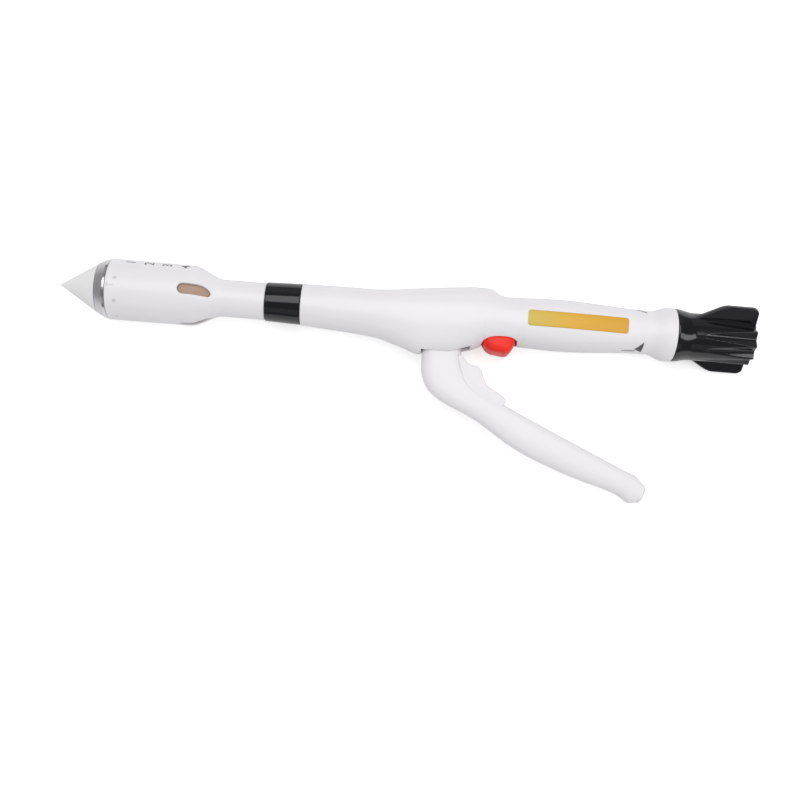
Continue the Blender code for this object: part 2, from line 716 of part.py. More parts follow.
def housing_features(pivot):
    """Rings, posts and bosses that stand inside the housing."""
    bm = bmesh.new()
    reach = 2 * BELLY_DEPTH
    beyond = 3 * TRIM
    rib_bore = SCREW_GUIDE_R - RIB_OVERLAP
    guide_end = SCREW_GUIDE_X + GUIDE_LENGTH + GAP
    rings = [(HOUSING_FRONT - beyond, HOUSING_FRONT + COLLAR_SEAT, SPIGOT_R + GAP)]
    rings += [(SCREW_GUIDE_X - GAP - RIB, SCREW_GUIDE_X - GAP, rib_bore), (guide_end, guide_end + RIB, rib_bore)]
    rings += [(HOUSING_REAR - BULKHEAD, HOUSING_REAR + beyond, NECK_R + GAP)]
    for start, end, bore in rings:
        add_turned(bm, [(start, bore), (start, reach), (end, reach), (end, bore)], BUSH_SIDES)
    for x, y in peg_places():
        add_plate(bm, circle(x, y, POST_R, POST_SIDES), -reach, reach)
    bosses = [(PIVOT_X, PIVOT_Y, FORK_OUTER + SLOT_MARGIN), (CATCH_X, CATCH_Y, CATCH_HALF + 1.5 * SLOT_MARGIN)]
    for x, y, floor in bosses:
        add_plate(bm, circle(x, y, BOSS_R), floor, reach)
        add_plate(bm, circle(x, y, BOSS_R), -reach, -floor)
    return finish("housing_features", bm, pivot)


def housing_whole(pivot):
    """The hollow housing before it is split along its seam."""
    room = housing_skin("housing_room", HOUSING_WALL, 2 * TRIM, pivot)
    boolean(room, housing_features(pivot), "DIFFERENCE")
    whole = housing_skin("housing_whole", 0.0, TRIM, pivot)
    boolean(whole, room, "DIFFERENCE")
    return whole


def peg_places():
    """(x, y) of each locating peg between the two halves."""
    places = []
    for share, flank in ((-0.25, -1), (0.11, 1), (0.42, 1), (0.81, 1)):
        x = along_housing(share)
        top, low, half = housing_edges(x)
        reach = (top if flank > 0 else low) - HOUSING_WALL - POST_R / 2
        places.append((x, flank * reach))
    return places


def housing_half(name, flank, whole, pivot, surface):
    """One moulded half of the housing; only the MANIFOLD solver keeps these long skins closed."""
    reach = 2 * BELLY_DEPTH
    side = [(box(HOUSING_FRONT, HOUSING_REAR, -reach, reach), flank * GAP / 2, flank * reach)]
    half = plates(name, side, pivot, surface)
    boolean(half, whole, "INTERSECT", solver="MANIFOLD")
    boolean(half, housing_cuts(name + "_cuts", flank, pivot), "DIFFERENCE", solver="MANIFOLD")
    return half


def housing_cuts(name, flank, pivot):
    """The lever's slot, the catch's slot and the blind pin holes of one half."""
    slot_half = LEVER_HALF + SLOT_MARGIN
    below = -2 * BELLY_DEPTH
    lever_slot = box(PIVOT_X - LEVER_SLOT_FRONT, PIVOT_X + LEVER_SLOT_REAR, below, PIVOT_Y + PIVOT_PIN_R)
    catch_slot = box(CATCH_X - CATCH_SLOT_FRONT, CATCH_X + CATCH_SLOT_REAR, below, CATCH_Y - CATCH_PIN_R / 2)
    hidden = -TRIM * flank
    shapes = [(lever_slot, hidden, flank * slot_half), (catch_slot, hidden, flank * (CATCH_HALF + SLOT_MARGIN))]
    lever_floor = FORK_OUTER + SLOT_MARGIN / 2
    catch_floor = CATCH_HALF + 1.25 * SLOT_MARGIN
    lever_hole = circle(PIVOT_X, PIVOT_Y, PIVOT_PIN_R + GAP)
    catch_hole = circle(CATCH_X, CATCH_Y, CATCH_PIN_R + GAP)
    shapes.append((lever_hole, flank * lever_floor, flank * (PIVOT_PIN_HALF + GAP)))
    shapes.append((catch_hole, flank * catch_floor, flank * (CATCH_PIN_HALF + GAP)))
    if flank < 0:
        for x, y in peg_places():
            shapes.append((circle(x, y, PEG_R + GAP, POST_SIDES), TRIM, -PEG_LENGTH - GAP))
    return plates(name, shapes, pivot)


def housing_pegs(pivot):
    """The pegs that stand out of the left half."""
    shapes = [(circle(x, y, PEG_R, POST_SIDES), -PEG_LENGTH, PEG_LENGTH) for x, y in peg_places()]
    return plates("housing_pegs", shapes, pivot)


def lever_edges():
    """(rear edge, grip edge) stations down the lever from its pivot, in hundredths of its reach."""
    return [
        ((-7.6, 0.4), (9.4, 0.4)),
        ((-8.2, -8.0), (10.9, -6.7)),
        ((-7.7, -17.0), (13.0, -14.6)),
        ((-4.4, -24.5), (16.6, -20.0)),
        ((3.9, -30.7), (23.6, -25.4)),
        ((19.6, -37.9), (36.8, -31.5)),
        ((40.6, -50.8), (54.5, -39.6)),
        ((65.2, -60.7), (71.9, -47.3)),
        ((87.1, -67.2), (91.5, -56.0)),
        ((94.6, -71.4), (97.8, -58.6)),
        ((98.6, -71.2), (101.4, -62.3)),
    ]


def lever_line(edge, t):
    """A Catmull-Rom curve along one edge of the lever; t counts stations."""
    places = [Vector(pair[edge]) * (LEVER_REACH / 100) for pair in lever_edges()]
    i = min(int(t), len(places) - 2)
    u = t - i
    before = places[max(i - 1, 0)]
    start = places[i]
    end = places[i + 1]
    after = places[min(i + 2, len(places) - 1)]
    near = (end - before) / 2
    far = (after - start) / 2
    hump = u * (1 - u)
    return start + (end - start) * ease(u) + near * hump * (1 - u) - far * hump * u


def lever_ring(middle, reach, half, count=16):
    """A rounded section across the lever at middle, with half length vector reach and half thickness."""
    ring = []
    for i in range(count):
        angle = 2 * math.pi * (i + 0.5) / count
        along = math.copysign(abs(math.cos(angle)) ** (2 / LEVER_ROUNDING), math.cos(angle))
        across = math.copysign(abs(math.sin(angle)) ** (2 / LEVER_ROUNDING), math.sin(angle))
        spot = middle + reach * along
        ring.append((PIVOT_X + spot.x, PIVOT_Y + spot.y, half * across))
    return ring


def lever_skin(pivot, surface):
    """The lever's neck and handle, ending in a rounded tip."""
    last = len(lever_edges()) - 1
    rings = []
    for t in spread(0.0, last, last * 5 // 2):
        low = lever_line(0, t)
        high = lever_line(1, t)
        rings.append(lever_ring((low + high) / 2, (high - low) / 2, LEVER_HALF))
    reach = (lever_line(1, last) - lever_line(0, last)) / 2
    middle = (lever_line(1, last) + lever_line(0, last)) / 2
    onward = Vector((-reach.y, reach.x)).normalized() * -1
    for turn in spread(0.0, math.pi / 2, 3)[1:]:
        shrink = TIP_ROUNDING * (1 - math.cos(turn))
        spot = middle + onward * (TIP_ROUNDING * math.sin(turn))
        rings.append(lever_ring(spot, reach * (1 - shrink / reach.length), LEVER_HALF - shrink))
    return loft("firing_lever", rings, pivot, surface)


def firing_lever(pivot, surface):
    """The moulded lever with its hub and the fork that straddles the push tube."""
    lever = lever_skin(pivot, surface)
    hub = plates("lever_hub", [(circle(PIVOT_X, PIVOT_Y, HUB_R), -FORK_OUTER, FORK_OUTER)], pivot)
    boolean(lever, hub, "UNION")
    for name, side in (("fork_near", 1), ("fork_far", -1)):
        boolean(lever, fork_arm(name, side, pivot), "UNION")
    pin_hole = circle(PIVOT_X, PIVOT_Y, PIVOT_PIN_R + GAP)
    cuts = [(pin_hole, -LEVER_HALF * 2, LEVER_HALF * 2)]
    boolean(lever, plates("lever_pin_hole", cuts, pivot), "DIFFERENCE")
    groove = [(insert_outline(GAP), -INSERT_HALF - GAP, INSERT_HALF + GAP)]
    boolean(lever, plates("lever_groove", groove, pivot), "DIFFERENCE")
    return lever


def fork_arm(name, side, pivot):
    """One arm of the fork, ending in a round pad on the barrel's axis."""
    lean = LEVER_SWING / 2
    sideways = Vector((math.cos(lean), -math.sin(lean))) * FORK_ARM_HALF
    pad = Vector((FORK_X, 0))
    hub = Vector((PIVOT_X, PIVOT_Y))
    arc = spread(-math.radians(130), math.radians(130), 12)
    outline = [tuple(hub + sideways), tuple(hub - sideways)]
    for angle in arc:
        spoke = Vector((math.sin(lean + angle), math.cos(lean + angle)))
        outline.append(tuple(pad + spoke * FORK_PAD_R))
    return plates(name, [(outline, side * FORK_INNER, side * FORK_OUTER)], pivot)


def insert_outline(grow=0.0):
    """The stepped insert's outline from the pivot, in hundredths of the lever's reach, grown by a clearance."""
    show = [(11.0, -7.0), (12.9, -10.3), (15.2, -12.1), (19.5, -12.6), (21.1, -14.6), (22.3, -18.4)]
    show += [(23.6, -20.6), (25.2, -22.1), (33.1, -26.6), (33.9, -28.9)]
    buried = [(30.4, -33.0), (19.6, -27.7), (12.4, -20.1), (8.8, -8.6)]
    unit = LEVER_REACH / 100
    middle = Vector((19.7, -18.8)) * unit
    points = []
    for spot in show + buried:
        point = Vector(spot) * unit
        point += (point - middle).normalized() * grow
        points.append((PIVOT_X + point.x, PIVOT_Y + point.y))
    return points


def lever_insert(pivot, surface):
    """The stepped stop let into the lever's grip side."""
    insert = plates("lever_insert", [(insert_outline(), -INSERT_HALF, INSERT_HALF)], pivot, surface)
    bevel(insert, INSERT_BEVEL, 2, 25)
    return insert


def safety_catch(pivot, surface):
    """The red catch: a broad thumb tab on a narrower lug."""
    tab = [(-0.21, -0.14), (-0.21, -0.38), (-0.02, -0.64), (0.33, -0.69), (0.58, -0.72), (0.72, -0.56)]
    tab += [(0.785, -0.33), (0.75, -0.14)]
    outline = [(CATCH_X + x * CATCH_TAB, CATCH_Y + y * CATCH_TAB) for x, y in tab]
    catch = plates("safety_catch", [(outline, -CATCH_HALF, CATCH_HALF)], pivot, surface)
    bevel(catch, CATCH_BEVEL, 3, 25)
    lug = plates("catch_lug", [(circle(CATCH_X, CATCH_Y, CATCH_LUG_R), -CATCH_LUG_HALF, CATCH_LUG_HALF)], pivot)
    boolean(catch, lug, "UNION")
    hole = [(circle(CATCH_X, CATCH_Y, CATCH_PIN_R + GAP), -2 * CATCH_HALF, 2 * CATCH_HALF)]
    boolean(catch, plates("catch_hole", hole, pivot), "DIFFERENCE")
    return catch


def pin(name, x, y, radius, half, pivot, surface):
    """A plain pin across the housing."""
    return plates(name, [(circle(x, y, radius), -half, half)], pivot, surface)


def knob_radius(x, angle):
    """The fluted core's radius."""
    along = x - KNOB_FRONT
    base = KNOB_R + (KNOB_FRONT_R - KNOB_R) * (1 - ease(along / KNOB_WAIST))
    depth = FLUTE_DEPTH * max(0.0, (along - FLUTE_START) / (KNOB_LENGTH - FLUTE_START))
    pitch = 2 * math.pi / FLUTE_COUNT
    from_groove = ((angle - WING_ANGLE) % pitch) / pitch * 2 - 1
    flute = base - depth + FLUTE_DEPTH * from_groove**2
    return min(base, flute) if depth > 0 else base


def adjusting_knob(pivot, surface):
    """The winged knob with its flutes, neck and bore; only the MANIFOLD solver keeps the fluted skin closed."""
    steps = spread(KNOB_FRONT, KNOB_FRONT + KNOB_WAIST, 3) + spread(KNOB_FRONT + FLUTE_START, KNOB_REAR - KNOB_EDGE, 6)
    count = FLUTE_COUNT * FLUTE_STEPS
    rings = []
    for x in steps + [KNOB_REAR]:
        shrink = KNOB_EDGE if x == KNOB_REAR else 0.0
        ring = []
        for i in range(count):
            angle = WING_ANGLE + 2 * math.pi * i / count
            radius = knob_radius(x, angle) - shrink
            ring.append((x, radius * math.sin(angle), radius * math.cos(angle)))
        rings.append(ring)
    knob = loft("adjusting_knob", rings, pivot, surface)
    boolean(knob, knob_neck(pivot), "UNION", solver="MANIFOLD")
    for name, side in (("wing_upper", 0.0), ("wing_lower", math.pi)):
        boolean(knob, knob_wing(name, side, pivot), "UNION", solver="MANIFOLD")
    boolean(knob, knob_bore(pivot), "DIFFERENCE", solver="MANIFOLD")
    return knob


def knob_neck(pivot):
    """The grooved neck that the retaining ring snaps on."""
    front = KNOB_FRONT - NECK_LENGTH
    groove_rear = KNOB_FRONT - GAP - BULKHEAD - GAP - WASHER
    groove_front = groove_rear - RING_WIDTH - 2 * GAP
    profile = [(front, 0), (front, NECK_R), (groove_front, NECK_R), (groove_front, RING_GROOVE_R)]
    root = KNOB_FRONT + TRIM
    profile += [(groove_rear, RING_GROOVE_R), (groove_rear, NECK_R), (root, NECK_R), (root, 0)]
    return turned("knob_neck", profile, pivot, sides=BUSH_SIDES)


def knob_wing(name, side, pivot):
    """One wing: a rounded plate that rises in an S-curve from the waist to full height."""
    start = KNOB_FRONT + KNOB_WAIST
    root = KNOB_R - FLUTE_DEPTH - TRIM
    foot = KNOB_R - TRIM / 2
    outline = [(start, root)]
    for share in spread(0.0, 1.0, 6):
        outline.append((start + WING_RISE * share, foot + (WING_R - foot) * ease(share)))
    for turn in spread(0.0, math.pi / 2, 3):
        x = KNOB_REAR + WING_CORNER * (math.sin(turn) - 1)
        outline.append((x, WING_R + WING_CORNER * (math.cos(turn) - 1)))
    outline.append((KNOB_REAR, root))
    bm = bmesh.new()
    turn = Matrix.Rotation(math.pi / 2 - WING_ANGLE + side, 4, "X")
    add_plate(bm, outline, -WING_THICKNESS / 2, WING_THICKNESS / 2, turn)
    wing = finish(name, bm, pivot)
    bevel(wing, WING_BEVEL, 2, 60)
    return wing


def knob_bore(pivot):
    """The blind bore for the nut and the lead screw."""
    front = KNOB_FRONT - NECK_LENGTH - TRIM
    nut_end = KNOB_FRONT - NECK_LENGTH + NUT_LENGTH + GAP
    screw_end = KNOB_REAR - KNOB_BACK_WALL
    screw_space = SCREW_R + SCREW_ROOM
    profile = [(front, 0), (front, NUT_R + GAP), (nut_end, NUT_R + GAP), (nut_end, screw_space)]
    profile += [(screw_end, screw_space), (screw_end, 0)]
    return turned("knob_bore", profile, pivot, sides=SMALL_SIDES)


def knob_nut(pivot, surface):
    """The nut fixed in the knob, which drives the lead screw."""
    front = KNOB_FRONT - NECK_LENGTH
    rear = front + NUT_LENGTH
    bore = SCREW_R + NUT_CLEARANCE
    profile = [(front, bore), (front, NUT_R), (rear, NUT_R), (rear, bore)]
    return turned("knob_nut", profile, pivot, surface, sides=SMALL_SIDES)


def retaining_ring(pivot, surface):
    """The open ring that holds the knob's neck in the housing."""
    rear = KNOB_FRONT - GAP - BULKHEAD - GAP - WASHER - GAP
    front = rear - RING_WIDTH
    inner = RING_GROOVE_R + GAP
    profile = [(front, inner), (front, RING_R), (rear, RING_R), (rear, inner)]
    ring = turned("retaining_ring", profile, pivot, surface, sides=BUSH_SIDES)
    reach = 2 * RING_R
    spread_y = reach * math.tan(RING_OPENING / 2)
    bm = bmesh.new()
    wedge = [(0, 0), (reach, -spread_y), (reach, spread_y)]
    stand_up = Matrix(((0, 0, 1, 0), (1, 0, 0, 0), (0, 1, 0, 0), (0, 0, 0, 1)))
    add_plate(bm, wedge, front - TRIM, rear + TRIM, stand_up)
    boolean(ring, finish("ring_opening", bm, pivot), "DIFFERENCE")
    return ring


def thrust_washer(pivot, surface):
    """The washer between the ring and the housing's rear wall."""
    rear = HOUSING_REAR - BULKHEAD - GAP
    front = rear - WASHER + GAP
    profile = [(front, NECK_R + GAP), (front, RING_R), (rear, RING_R), (rear, NECK_R + GAP)]
    return turned("thrust_washer", profile, pivot, surface, sides=BUSH_SIDES)


def clear_scene():
    """Remove whatever the file opened with."""
    for old in list(bpy.data.objects):
        bpy.data.objects.remove(old)


def lay_down(stand):
    """Move the stand so that the stapler's box stands centred on the origin."""
    bpy.context.view_layer.update()
    graph = bpy.context.evaluated_depsgraph_get()
    corners = []
    for piece in bpy.data.objects:
        if piece.type == "EMPTY" or piece.hide_render:
            continue
        seen = piece.evaluated_get(graph)
        mesh = seen.to_mesh()
        corners += [seen.matrix_world @ vertex.co for vertex in mesh.vertices]
        seen.to_mesh_clear()
    low = [min(corner[i] for corner in corners) for i in range(3)]
    high = [max(corner[i] for corner in corners) for i in range(3)]
    stand.location = (-(low[0] + high[0]) / 2, -(low[1] + high[1]) / 2, -low[2])


def build():
    """Model every piece of the stapler."""
    clear_scene()
    white = material("white_abs", (0.80, 0.80, 0.82), 0.32)
    nose_white = material("nose_white", (0.78, 0.78, 0.80), 0.38)
    black = material("black_gloss", (0.012, 0.012, 0.016), 0.18)
    red = material("red_plastic", (0.80, 0.035, 0.02), 0.35)
    tan = material("tan_plastic", (0.45, 0.30, 0.19), 0.5)
    ivory = material("ivory_plastic", (0.72, 0.70, 0.62), 0.45)
    steel = material("steel", (0.50, 0.50, 0.52), 0.32, 1.0)
    spring_steel = material("spring_steel", (0.42, 0.42, 0.44), 0.28, 1.0)
    brass = material("brass", (0.65, 0.48, 0.22), 0.35, 1.0)

    stand = empty("stand", (0, 0, 0))
    lever_pivot = empty("lever_pivot", (PIVOT_X, PIVOT_Y, 0), stand)
    catch_pivot = empty("catch_pivot", (CATCH_X, CATCH_Y, 0), stand)

    head_casing(stand, white)
    band_sleeve(stand, black)
    staple_cartridge(stand, ivory)
    front_guide(stand, ivory)
    rear_guide(stand, ivory)
    screw_guide(stand, ivory)
    whole = housing_whole(stand)
    left = housing_half("housing_left", 1, whole, stand, white)
    boolean(left, housing_pegs(stand), "UNION", solver="MANIFOLD")
    housing_half("housing_right", -1, whole, stand, white)
    pin("lever_pin", PIVOT_X, PIVOT_Y, PIVOT_PIN_R, PIVOT_PIN_HALF, stand, steel)
    pin("catch_pin", CATCH_X, CATCH_Y, CATCH_PIN_R, CATCH_PIN_HALF, stand, steel)
    thrust_washer(stand, steel)

    anvil_nose(stand, nose_white)
    anvil_head(stand, steel)
    cutting_ring(stand, ivory)
    anvil_shaft(stand, steel)
    studded_rod("tie_rod", SHAFT_END + GAP, SCREW_FRONT - GAP, TIE_ROD_R, stand, steel, socket=True)
    studded_rod("lead_screw", SCREW_FRONT, SCREW_REAR, SCREW_R, stand, steel)

    staple_pusher(stand, ivory)
    circular_knife(stand, steel)
    driver_sleeve(stand, tan)
    push_tube(stand, steel)
    push_collar(stand, ivory)
    return_spring(stand, spring_steel)

    firing_lever(lever_pivot, white)
    lever_insert(lever_pivot, white)
    safety_catch(catch_pivot, red)

    adjusting_knob(stand, black)
    knob_nut(stand, brass)
    retaining_ring(stand, spring_steel)
    lay_down(stand)


build()
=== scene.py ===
# %% [markdown]
# # A circular stapler, dressed for its photograph
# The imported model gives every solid, its place and its joints. This lesson adds the looks: smooth
# moulded skins in place of the faceted ones, the printed figures, and a material for each finish.

# %% The frame
import math

import bmesh
import bpy
import numpy as np
from mathutils import Matrix, Vector


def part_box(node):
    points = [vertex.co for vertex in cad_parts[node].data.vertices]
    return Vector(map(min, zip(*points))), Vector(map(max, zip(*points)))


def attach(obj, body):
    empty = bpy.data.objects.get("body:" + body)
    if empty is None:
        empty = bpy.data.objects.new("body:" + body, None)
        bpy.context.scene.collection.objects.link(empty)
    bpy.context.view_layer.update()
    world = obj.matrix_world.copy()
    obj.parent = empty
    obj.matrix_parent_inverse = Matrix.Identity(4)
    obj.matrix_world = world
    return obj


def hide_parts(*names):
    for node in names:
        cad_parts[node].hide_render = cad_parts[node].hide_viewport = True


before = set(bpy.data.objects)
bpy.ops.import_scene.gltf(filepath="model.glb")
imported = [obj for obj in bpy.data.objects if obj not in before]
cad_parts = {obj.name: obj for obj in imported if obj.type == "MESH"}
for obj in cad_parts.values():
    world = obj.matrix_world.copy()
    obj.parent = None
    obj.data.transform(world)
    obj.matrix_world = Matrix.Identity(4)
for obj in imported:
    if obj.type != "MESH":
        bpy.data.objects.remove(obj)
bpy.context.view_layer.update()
print("solids:", len(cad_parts))

# %% [markdown]
# ## Barrel measure
# Every size below is in millimetres along the barrel: s runs from the casing's rim towards the knob,
# y towards the hump, and z towards the flank that faces the camera. One function turns them into the
# frame's metres, so that a piece sits where its solid does.

# %% Where the barrel lies
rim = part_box("head_casing")[0]
band_low, band_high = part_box("band_sleeve")
ORIGIN = np.array([rim.x, (band_low.y + band_high.y) / 2, (band_low.z + band_high.z) / 2])


def place(s, y, z):
    """Barrel millimetres to the frame's metres: a thousandth of each, added to the rim's centre."""
    return np.stack(np.broadcast_arrays(s, y, z), -1) * 0.001 + ORIGIN


def ends_of(node):
    """The s of a node's front and rear."""
    return [(corner.x - ORIGIN[0]) * 1000 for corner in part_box(node)]


def wound(s, radius, angle):
    """Points round the barrel: y = r sin(a) and z = r cos(a) at s."""
    return np.stack(np.broadcast_arrays(s, radius * np.sin(angle), radius * np.cos(angle)), -1)


def shown(name, data):
    """A new object in the scene."""
    made = bpy.data.objects.new(name, data)
    bpy.context.scene.collection.objects.link(made)
    return made


print("the rim's centre:", ORIGIN.round(4))

# %% [markdown]
# ## The camera
# The photograph shows the barrel sloping 4.7 degrees down to the right, the label above the middle of
# the grip and the lever's lower side. So the camera stands on the lever's side, 8 degrees below the
# barrel's level, some 55 cm away. A near camera gives the knob and the nose the photograph's sizes.

# %% Camera
SLOPE, DROP = math.radians(4.72), math.radians(-8.0)
DISTANCE, SENSOR, PIXELS, PIXELS_PER_MM = 550.0, 36.0, 800, 1.83
towards = Vector((0.0, math.sin(DROP), math.cos(DROP)))
upward = Vector((0.0, math.cos(DROP), -math.sin(DROP)))
along = Vector((1.0, 0.0, 0.0))
right = along * math.cos(SLOPE) + upward * math.sin(SLOPE)
top = upward * math.cos(SLOPE) - along * math.sin(SLOPE)
eye = along * 161.45 + upward * -47.56 + towards * DISTANCE
lens = bpy.data.cameras.new("photograph")
lens.sensor_width = SENSOR
lens.lens = SENSOR * PIXELS_PER_MM * DISTANCE / PIXELS
camera = shown("photograph", lens)
turn = Matrix((right, top, towards)).transposed().to_4x4()
camera.matrix_world = Matrix.Translation(Vector(place(*eye))) @ turn
bpy.context.scene.camera = camera
print("the lens in mm:", round(lens.lens, 1))

# %% [markdown]
# ## Floor and light
# The object is cut out on white. The floor is a white sheet that shows white to the camera and keeps
# the object's soft shadow. A plain world and five lamps stand for a studio tent: broad fills above the
# picture, at its foot and beside the nose, and two softboxes whose shapes show in the black parts.
# Mirrored, the world is dimmer, as a studio behind the camera is, so that the black stays black.

# %% Shader arithmetic


class Socket:
    """A shader socket that adds its Math node when it is used in an expression."""

    def __init__(self, sheet, socket):
        self.sheet = sheet
        self.socket = socket

    def node(self, kind, settings=None, output=0, **sockets):
        """Add a node: settings go on it first, then a value or a link goes in each named socket."""
        made = self.sheet.nodes.new("ShaderNode" + kind)
        for name, value in (settings or {}).items():
            setattr(made, name, value)
        for name, value in sockets.items():
            key = int(name[1:]) if name[1:].isdigit() else name.replace("_", " ")
            if isinstance(value, Socket):
                self.sheet.links.new(value.socket, made.inputs[key])
            else:
                made.inputs[key].default_value = value
        return Socket(self.sheet, made.outputs[output])

    def outlets(self, kind, names, **sockets):
        """Add a node and wrap several of its outputs."""
        made = self.node(kind, **sockets).socket.node
        return [Socket(self.sheet, made.outputs[name]) for name in names]

    def math(self, operation, first, second=0.5):
        return self.node("Math", {"operation": operation}, i0=first, i1=second)

    def __add__(self, other):
        return self.math("ADD", self, other)

    def __sub__(self, other):
        return self.math("SUBTRACT", self, other)

    def __rsub__(self, other):
        return self.math("SUBTRACT", other, self)

    def __mul__(self, other):
        return self.math("MULTIPLY", self, other)

    def __truediv__(self, other):
        return self.math("DIVIDE", self, other)

    def __pow__(self, other):
        return self.math("POWER", self, other)

    __radd__ = __add__
    __rmul__ = __mul__

    def clamp(self, low=0.0, high=1.0):
        return self.math("MINIMUM", self.math("MAXIMUM", self, low), high)

    def band(self, low, high, soft):
        """1 between low and high, with edges that fade over soft."""
        rise = ((self - low) / soft + 0.5).clamp()
        fall = ((high - self) / soft + 0.5).clamp()
        return rise * fall

    def mix(self, first, second):
        """A colour that goes from first to second as this mask goes from 0 to 1."""
        return self.node("Mix", {"data_type": "RGBA"}, output=2, i0=self, i6=first, i7=second)


def finish_of(name):
    """A new material: its sheet's first socket, its shader and the material."""
    made = bpy.data.materials.new(name)
    made.use_nodes = True
    sheet = made.node_tree
    shader = sheet.nodes["Principled BSDF"]
    return Socket(sheet, None), shader, made


def linked(start, shader, **values):
    """Put a value or a link in each named socket of the shader."""
    for name, value in values.items():
        key = name.replace("_", " ")
        if isinstance(value, Socket):
            start.sheet.links.new(value.socket, shader.inputs[key])
        else:
            shader.inputs[key].default_value = value


def colour(*rgb):
    """A colour as the photograph's eye sees it, 0 to 255, turned to the shader's linear light."""
    share = np.array(rgb) / 255
    linear = np.where(share <= 0.04045, share / 12.92, ((share + 0.055) / 1.055) ** 2.4)
    return (*linear.tolist(), 1.0)


def toned(rgb, factor):
    """The same colour in linear light, times a factor."""
    return (*np.minimum(np.array(colour(*rgb)[:3]) * factor, 1.0).tolist(), 1.0)


print("mid grey in linear light:", round(colour(128, 128, 128)[0], 3))

# %% Floor
start, shader, paper = finish_of("paper_sheet")
linked(start, shader, Base_Color=(0.80, 0.80, 0.80, 1.0), Roughness=0.9, Specular_IOR_Level=0.0)
rays = "Is Camera Ray", "Is Glossy Ray", "Is Transmission Ray"
seen, mirrored, passed = start.outlets("LightPath", rays)
glow = seen * 0.52 + (mirrored + passed) * 0.12
linked(start, shader, Emission_Color=(1.0, 1.0, 1.0, 1.0), Emission_Strength=glow)
FLOOR_HALF = 4.0
corners = FLOOR_HALF * np.array([(-1, -1, 0), (1, -1, 0), (1, 1, 0), (-1, 1, 0)])
sheet_mesh = bpy.data.meshes.new("paper")
sheet_mesh.from_pydata(corners.tolist(), [], [(0, 1, 2, 3)])
sheet_mesh.materials.append(paper)
floor = shown("paper", sheet_mesh)
print("floor:", floor.name)

# %% Lamps


def lamp(name, where, size, power, aim=(163.0, -20.0, 0.0)):
    """A rectangular softbox in barrel millimetres that faces the aim."""
    light = bpy.data.lights.new(name, "AREA")
    light.shape = "RECTANGLE"
    light.size, light.size_y = size
    light.energy = power
    made = shown(name, light)
    made.location = Vector(place(*where))
    gaze = Vector(place(*aim)) - made.location
    made.rotation_euler = gaze.to_track_quat("-Z", "Y").to_euler()


lamp("tent_top", (163, 950, 500), (1.6, 0.7), 0.6)
lamp("tent_foot", (163, -900, 500), (1.6, 0.5), 0.5)
lamp("tent_nose", (-800, 100, 600), (0.8, 0.8), 0.35)
lamp("softbox_front", (120, 190, 915), (0.9, 0.60), 3.4)
lamp("softbox_side", (960, -230, 800), (0.34, 0.70), 2.0, aim=(313.0, 0.0, 0.0))
world = bpy.data.worlds.new("tent")
world.use_nodes = True
background = world.node_tree.nodes["Background"]
background.inputs["Color"].default_value = (1.0, 1.0, 1.0, 1.0)
shiny = Socket(world.node_tree, None).outlets("LightPath", rays[1:2])[0]
world.node_tree.links.new((0.56 - shiny * 0.38).socket, background.inputs["Strength"])
bpy.context.scene.world = world
bpy.context.scene.view_settings.view_transform = "Standard"
print("lamps:", len(bpy.data.lights))

# %% [markdown]
# ## Surfaces from formulas
# A moulded part is a smooth surface of two parameters, such as a place along the barrel and an angle
# round it. It could be pushed into shape from a cube by hand, but a formula keeps the flow even. Each
# helper below computes a whole grid of points at once and hands it to the mesh.

# %% Patches


def patch(grid, around=False, ends=False, closed=False, keep=None):
    """The points and faces of a grid: neighbours in a row and in a column make each quad.

    around joins each row's end to its start, closed joins the last row to the first,
    ends caps the first and last rows, and keep says which quads stay.
    """
    rows, columns = grid.shape[:2]
    index = np.arange(rows * columns).reshape(rows, columns)
    caps = [index[0].tolist(), index[-1].tolist()] if ends else []
    if around:
        index = np.concatenate([index, index[:, :1]], 1)
    if closed:
        index = np.concatenate([index, index[:1]], 0)
    quads = np.stack([index[:-1, :-1], index[:-1, 1:], index[1:, 1:], index[1:, :-1]], -1)
    if keep is not None:
        quads = quads[keep]
    return grid.reshape(-1, 3), quads.reshape(-1, 4).tolist() + caps


def mesh_of(name, *patches):
    """One mesh from patches in barrel millimetres."""
    points = np.concatenate([spots for spots, sides in patches])
    starts = np.cumsum([0] + [len(spots) for spots, sides in patches])
    faces = [
        [corner + int(start) for corner in side]
        for (spots, sides), start in zip(patches, starts)
        for side in sides
    ]
    mesh = bpy.data.meshes.new(name)
    mesh.from_pydata(place(*points.T).tolist(), [], faces)
    return mesh


print("patch helpers: patch, mesh_of")

# %% [markdown]
# A thin part is modelled as an open sheet and gets its wall last. Such a sheet has no inside, so its
# faces are turned by their place: away from the barrel's axis.

# %% Pieces


def settle(mesh, sharp, sheet):
    """Merge doubles, turn the faces outwards, and shade smooth except over sharp edges."""
    bm = bmesh.new()
    bm.from_mesh(mesh)
    bmesh.ops.remove_doubles(bm, verts=bm.verts, dist=2e-6)
    bmesh.ops.dissolve_degenerate(bm, edges=bm.edges, dist=1e-7)
    bmesh.ops.recalc_face_normals(bm, faces=bm.faces)
    if sheet:
        middle = Vector((0.0, *ORIGIN[1:]))
        outward = 0.0
        for face in bm.faces:
            away = face.calc_center_median() - middle
            outward += face.normal.yz.dot(away.yz) * face.calc_area()
        if outward < 0:
            bmesh.ops.reverse_faces(bm, faces=bm.faces)
    bm.to_mesh(mesh)
    bm.free()
    mesh.shade_smooth()
    mesh.set_sharp_from_angle(angle=math.radians(sharp))


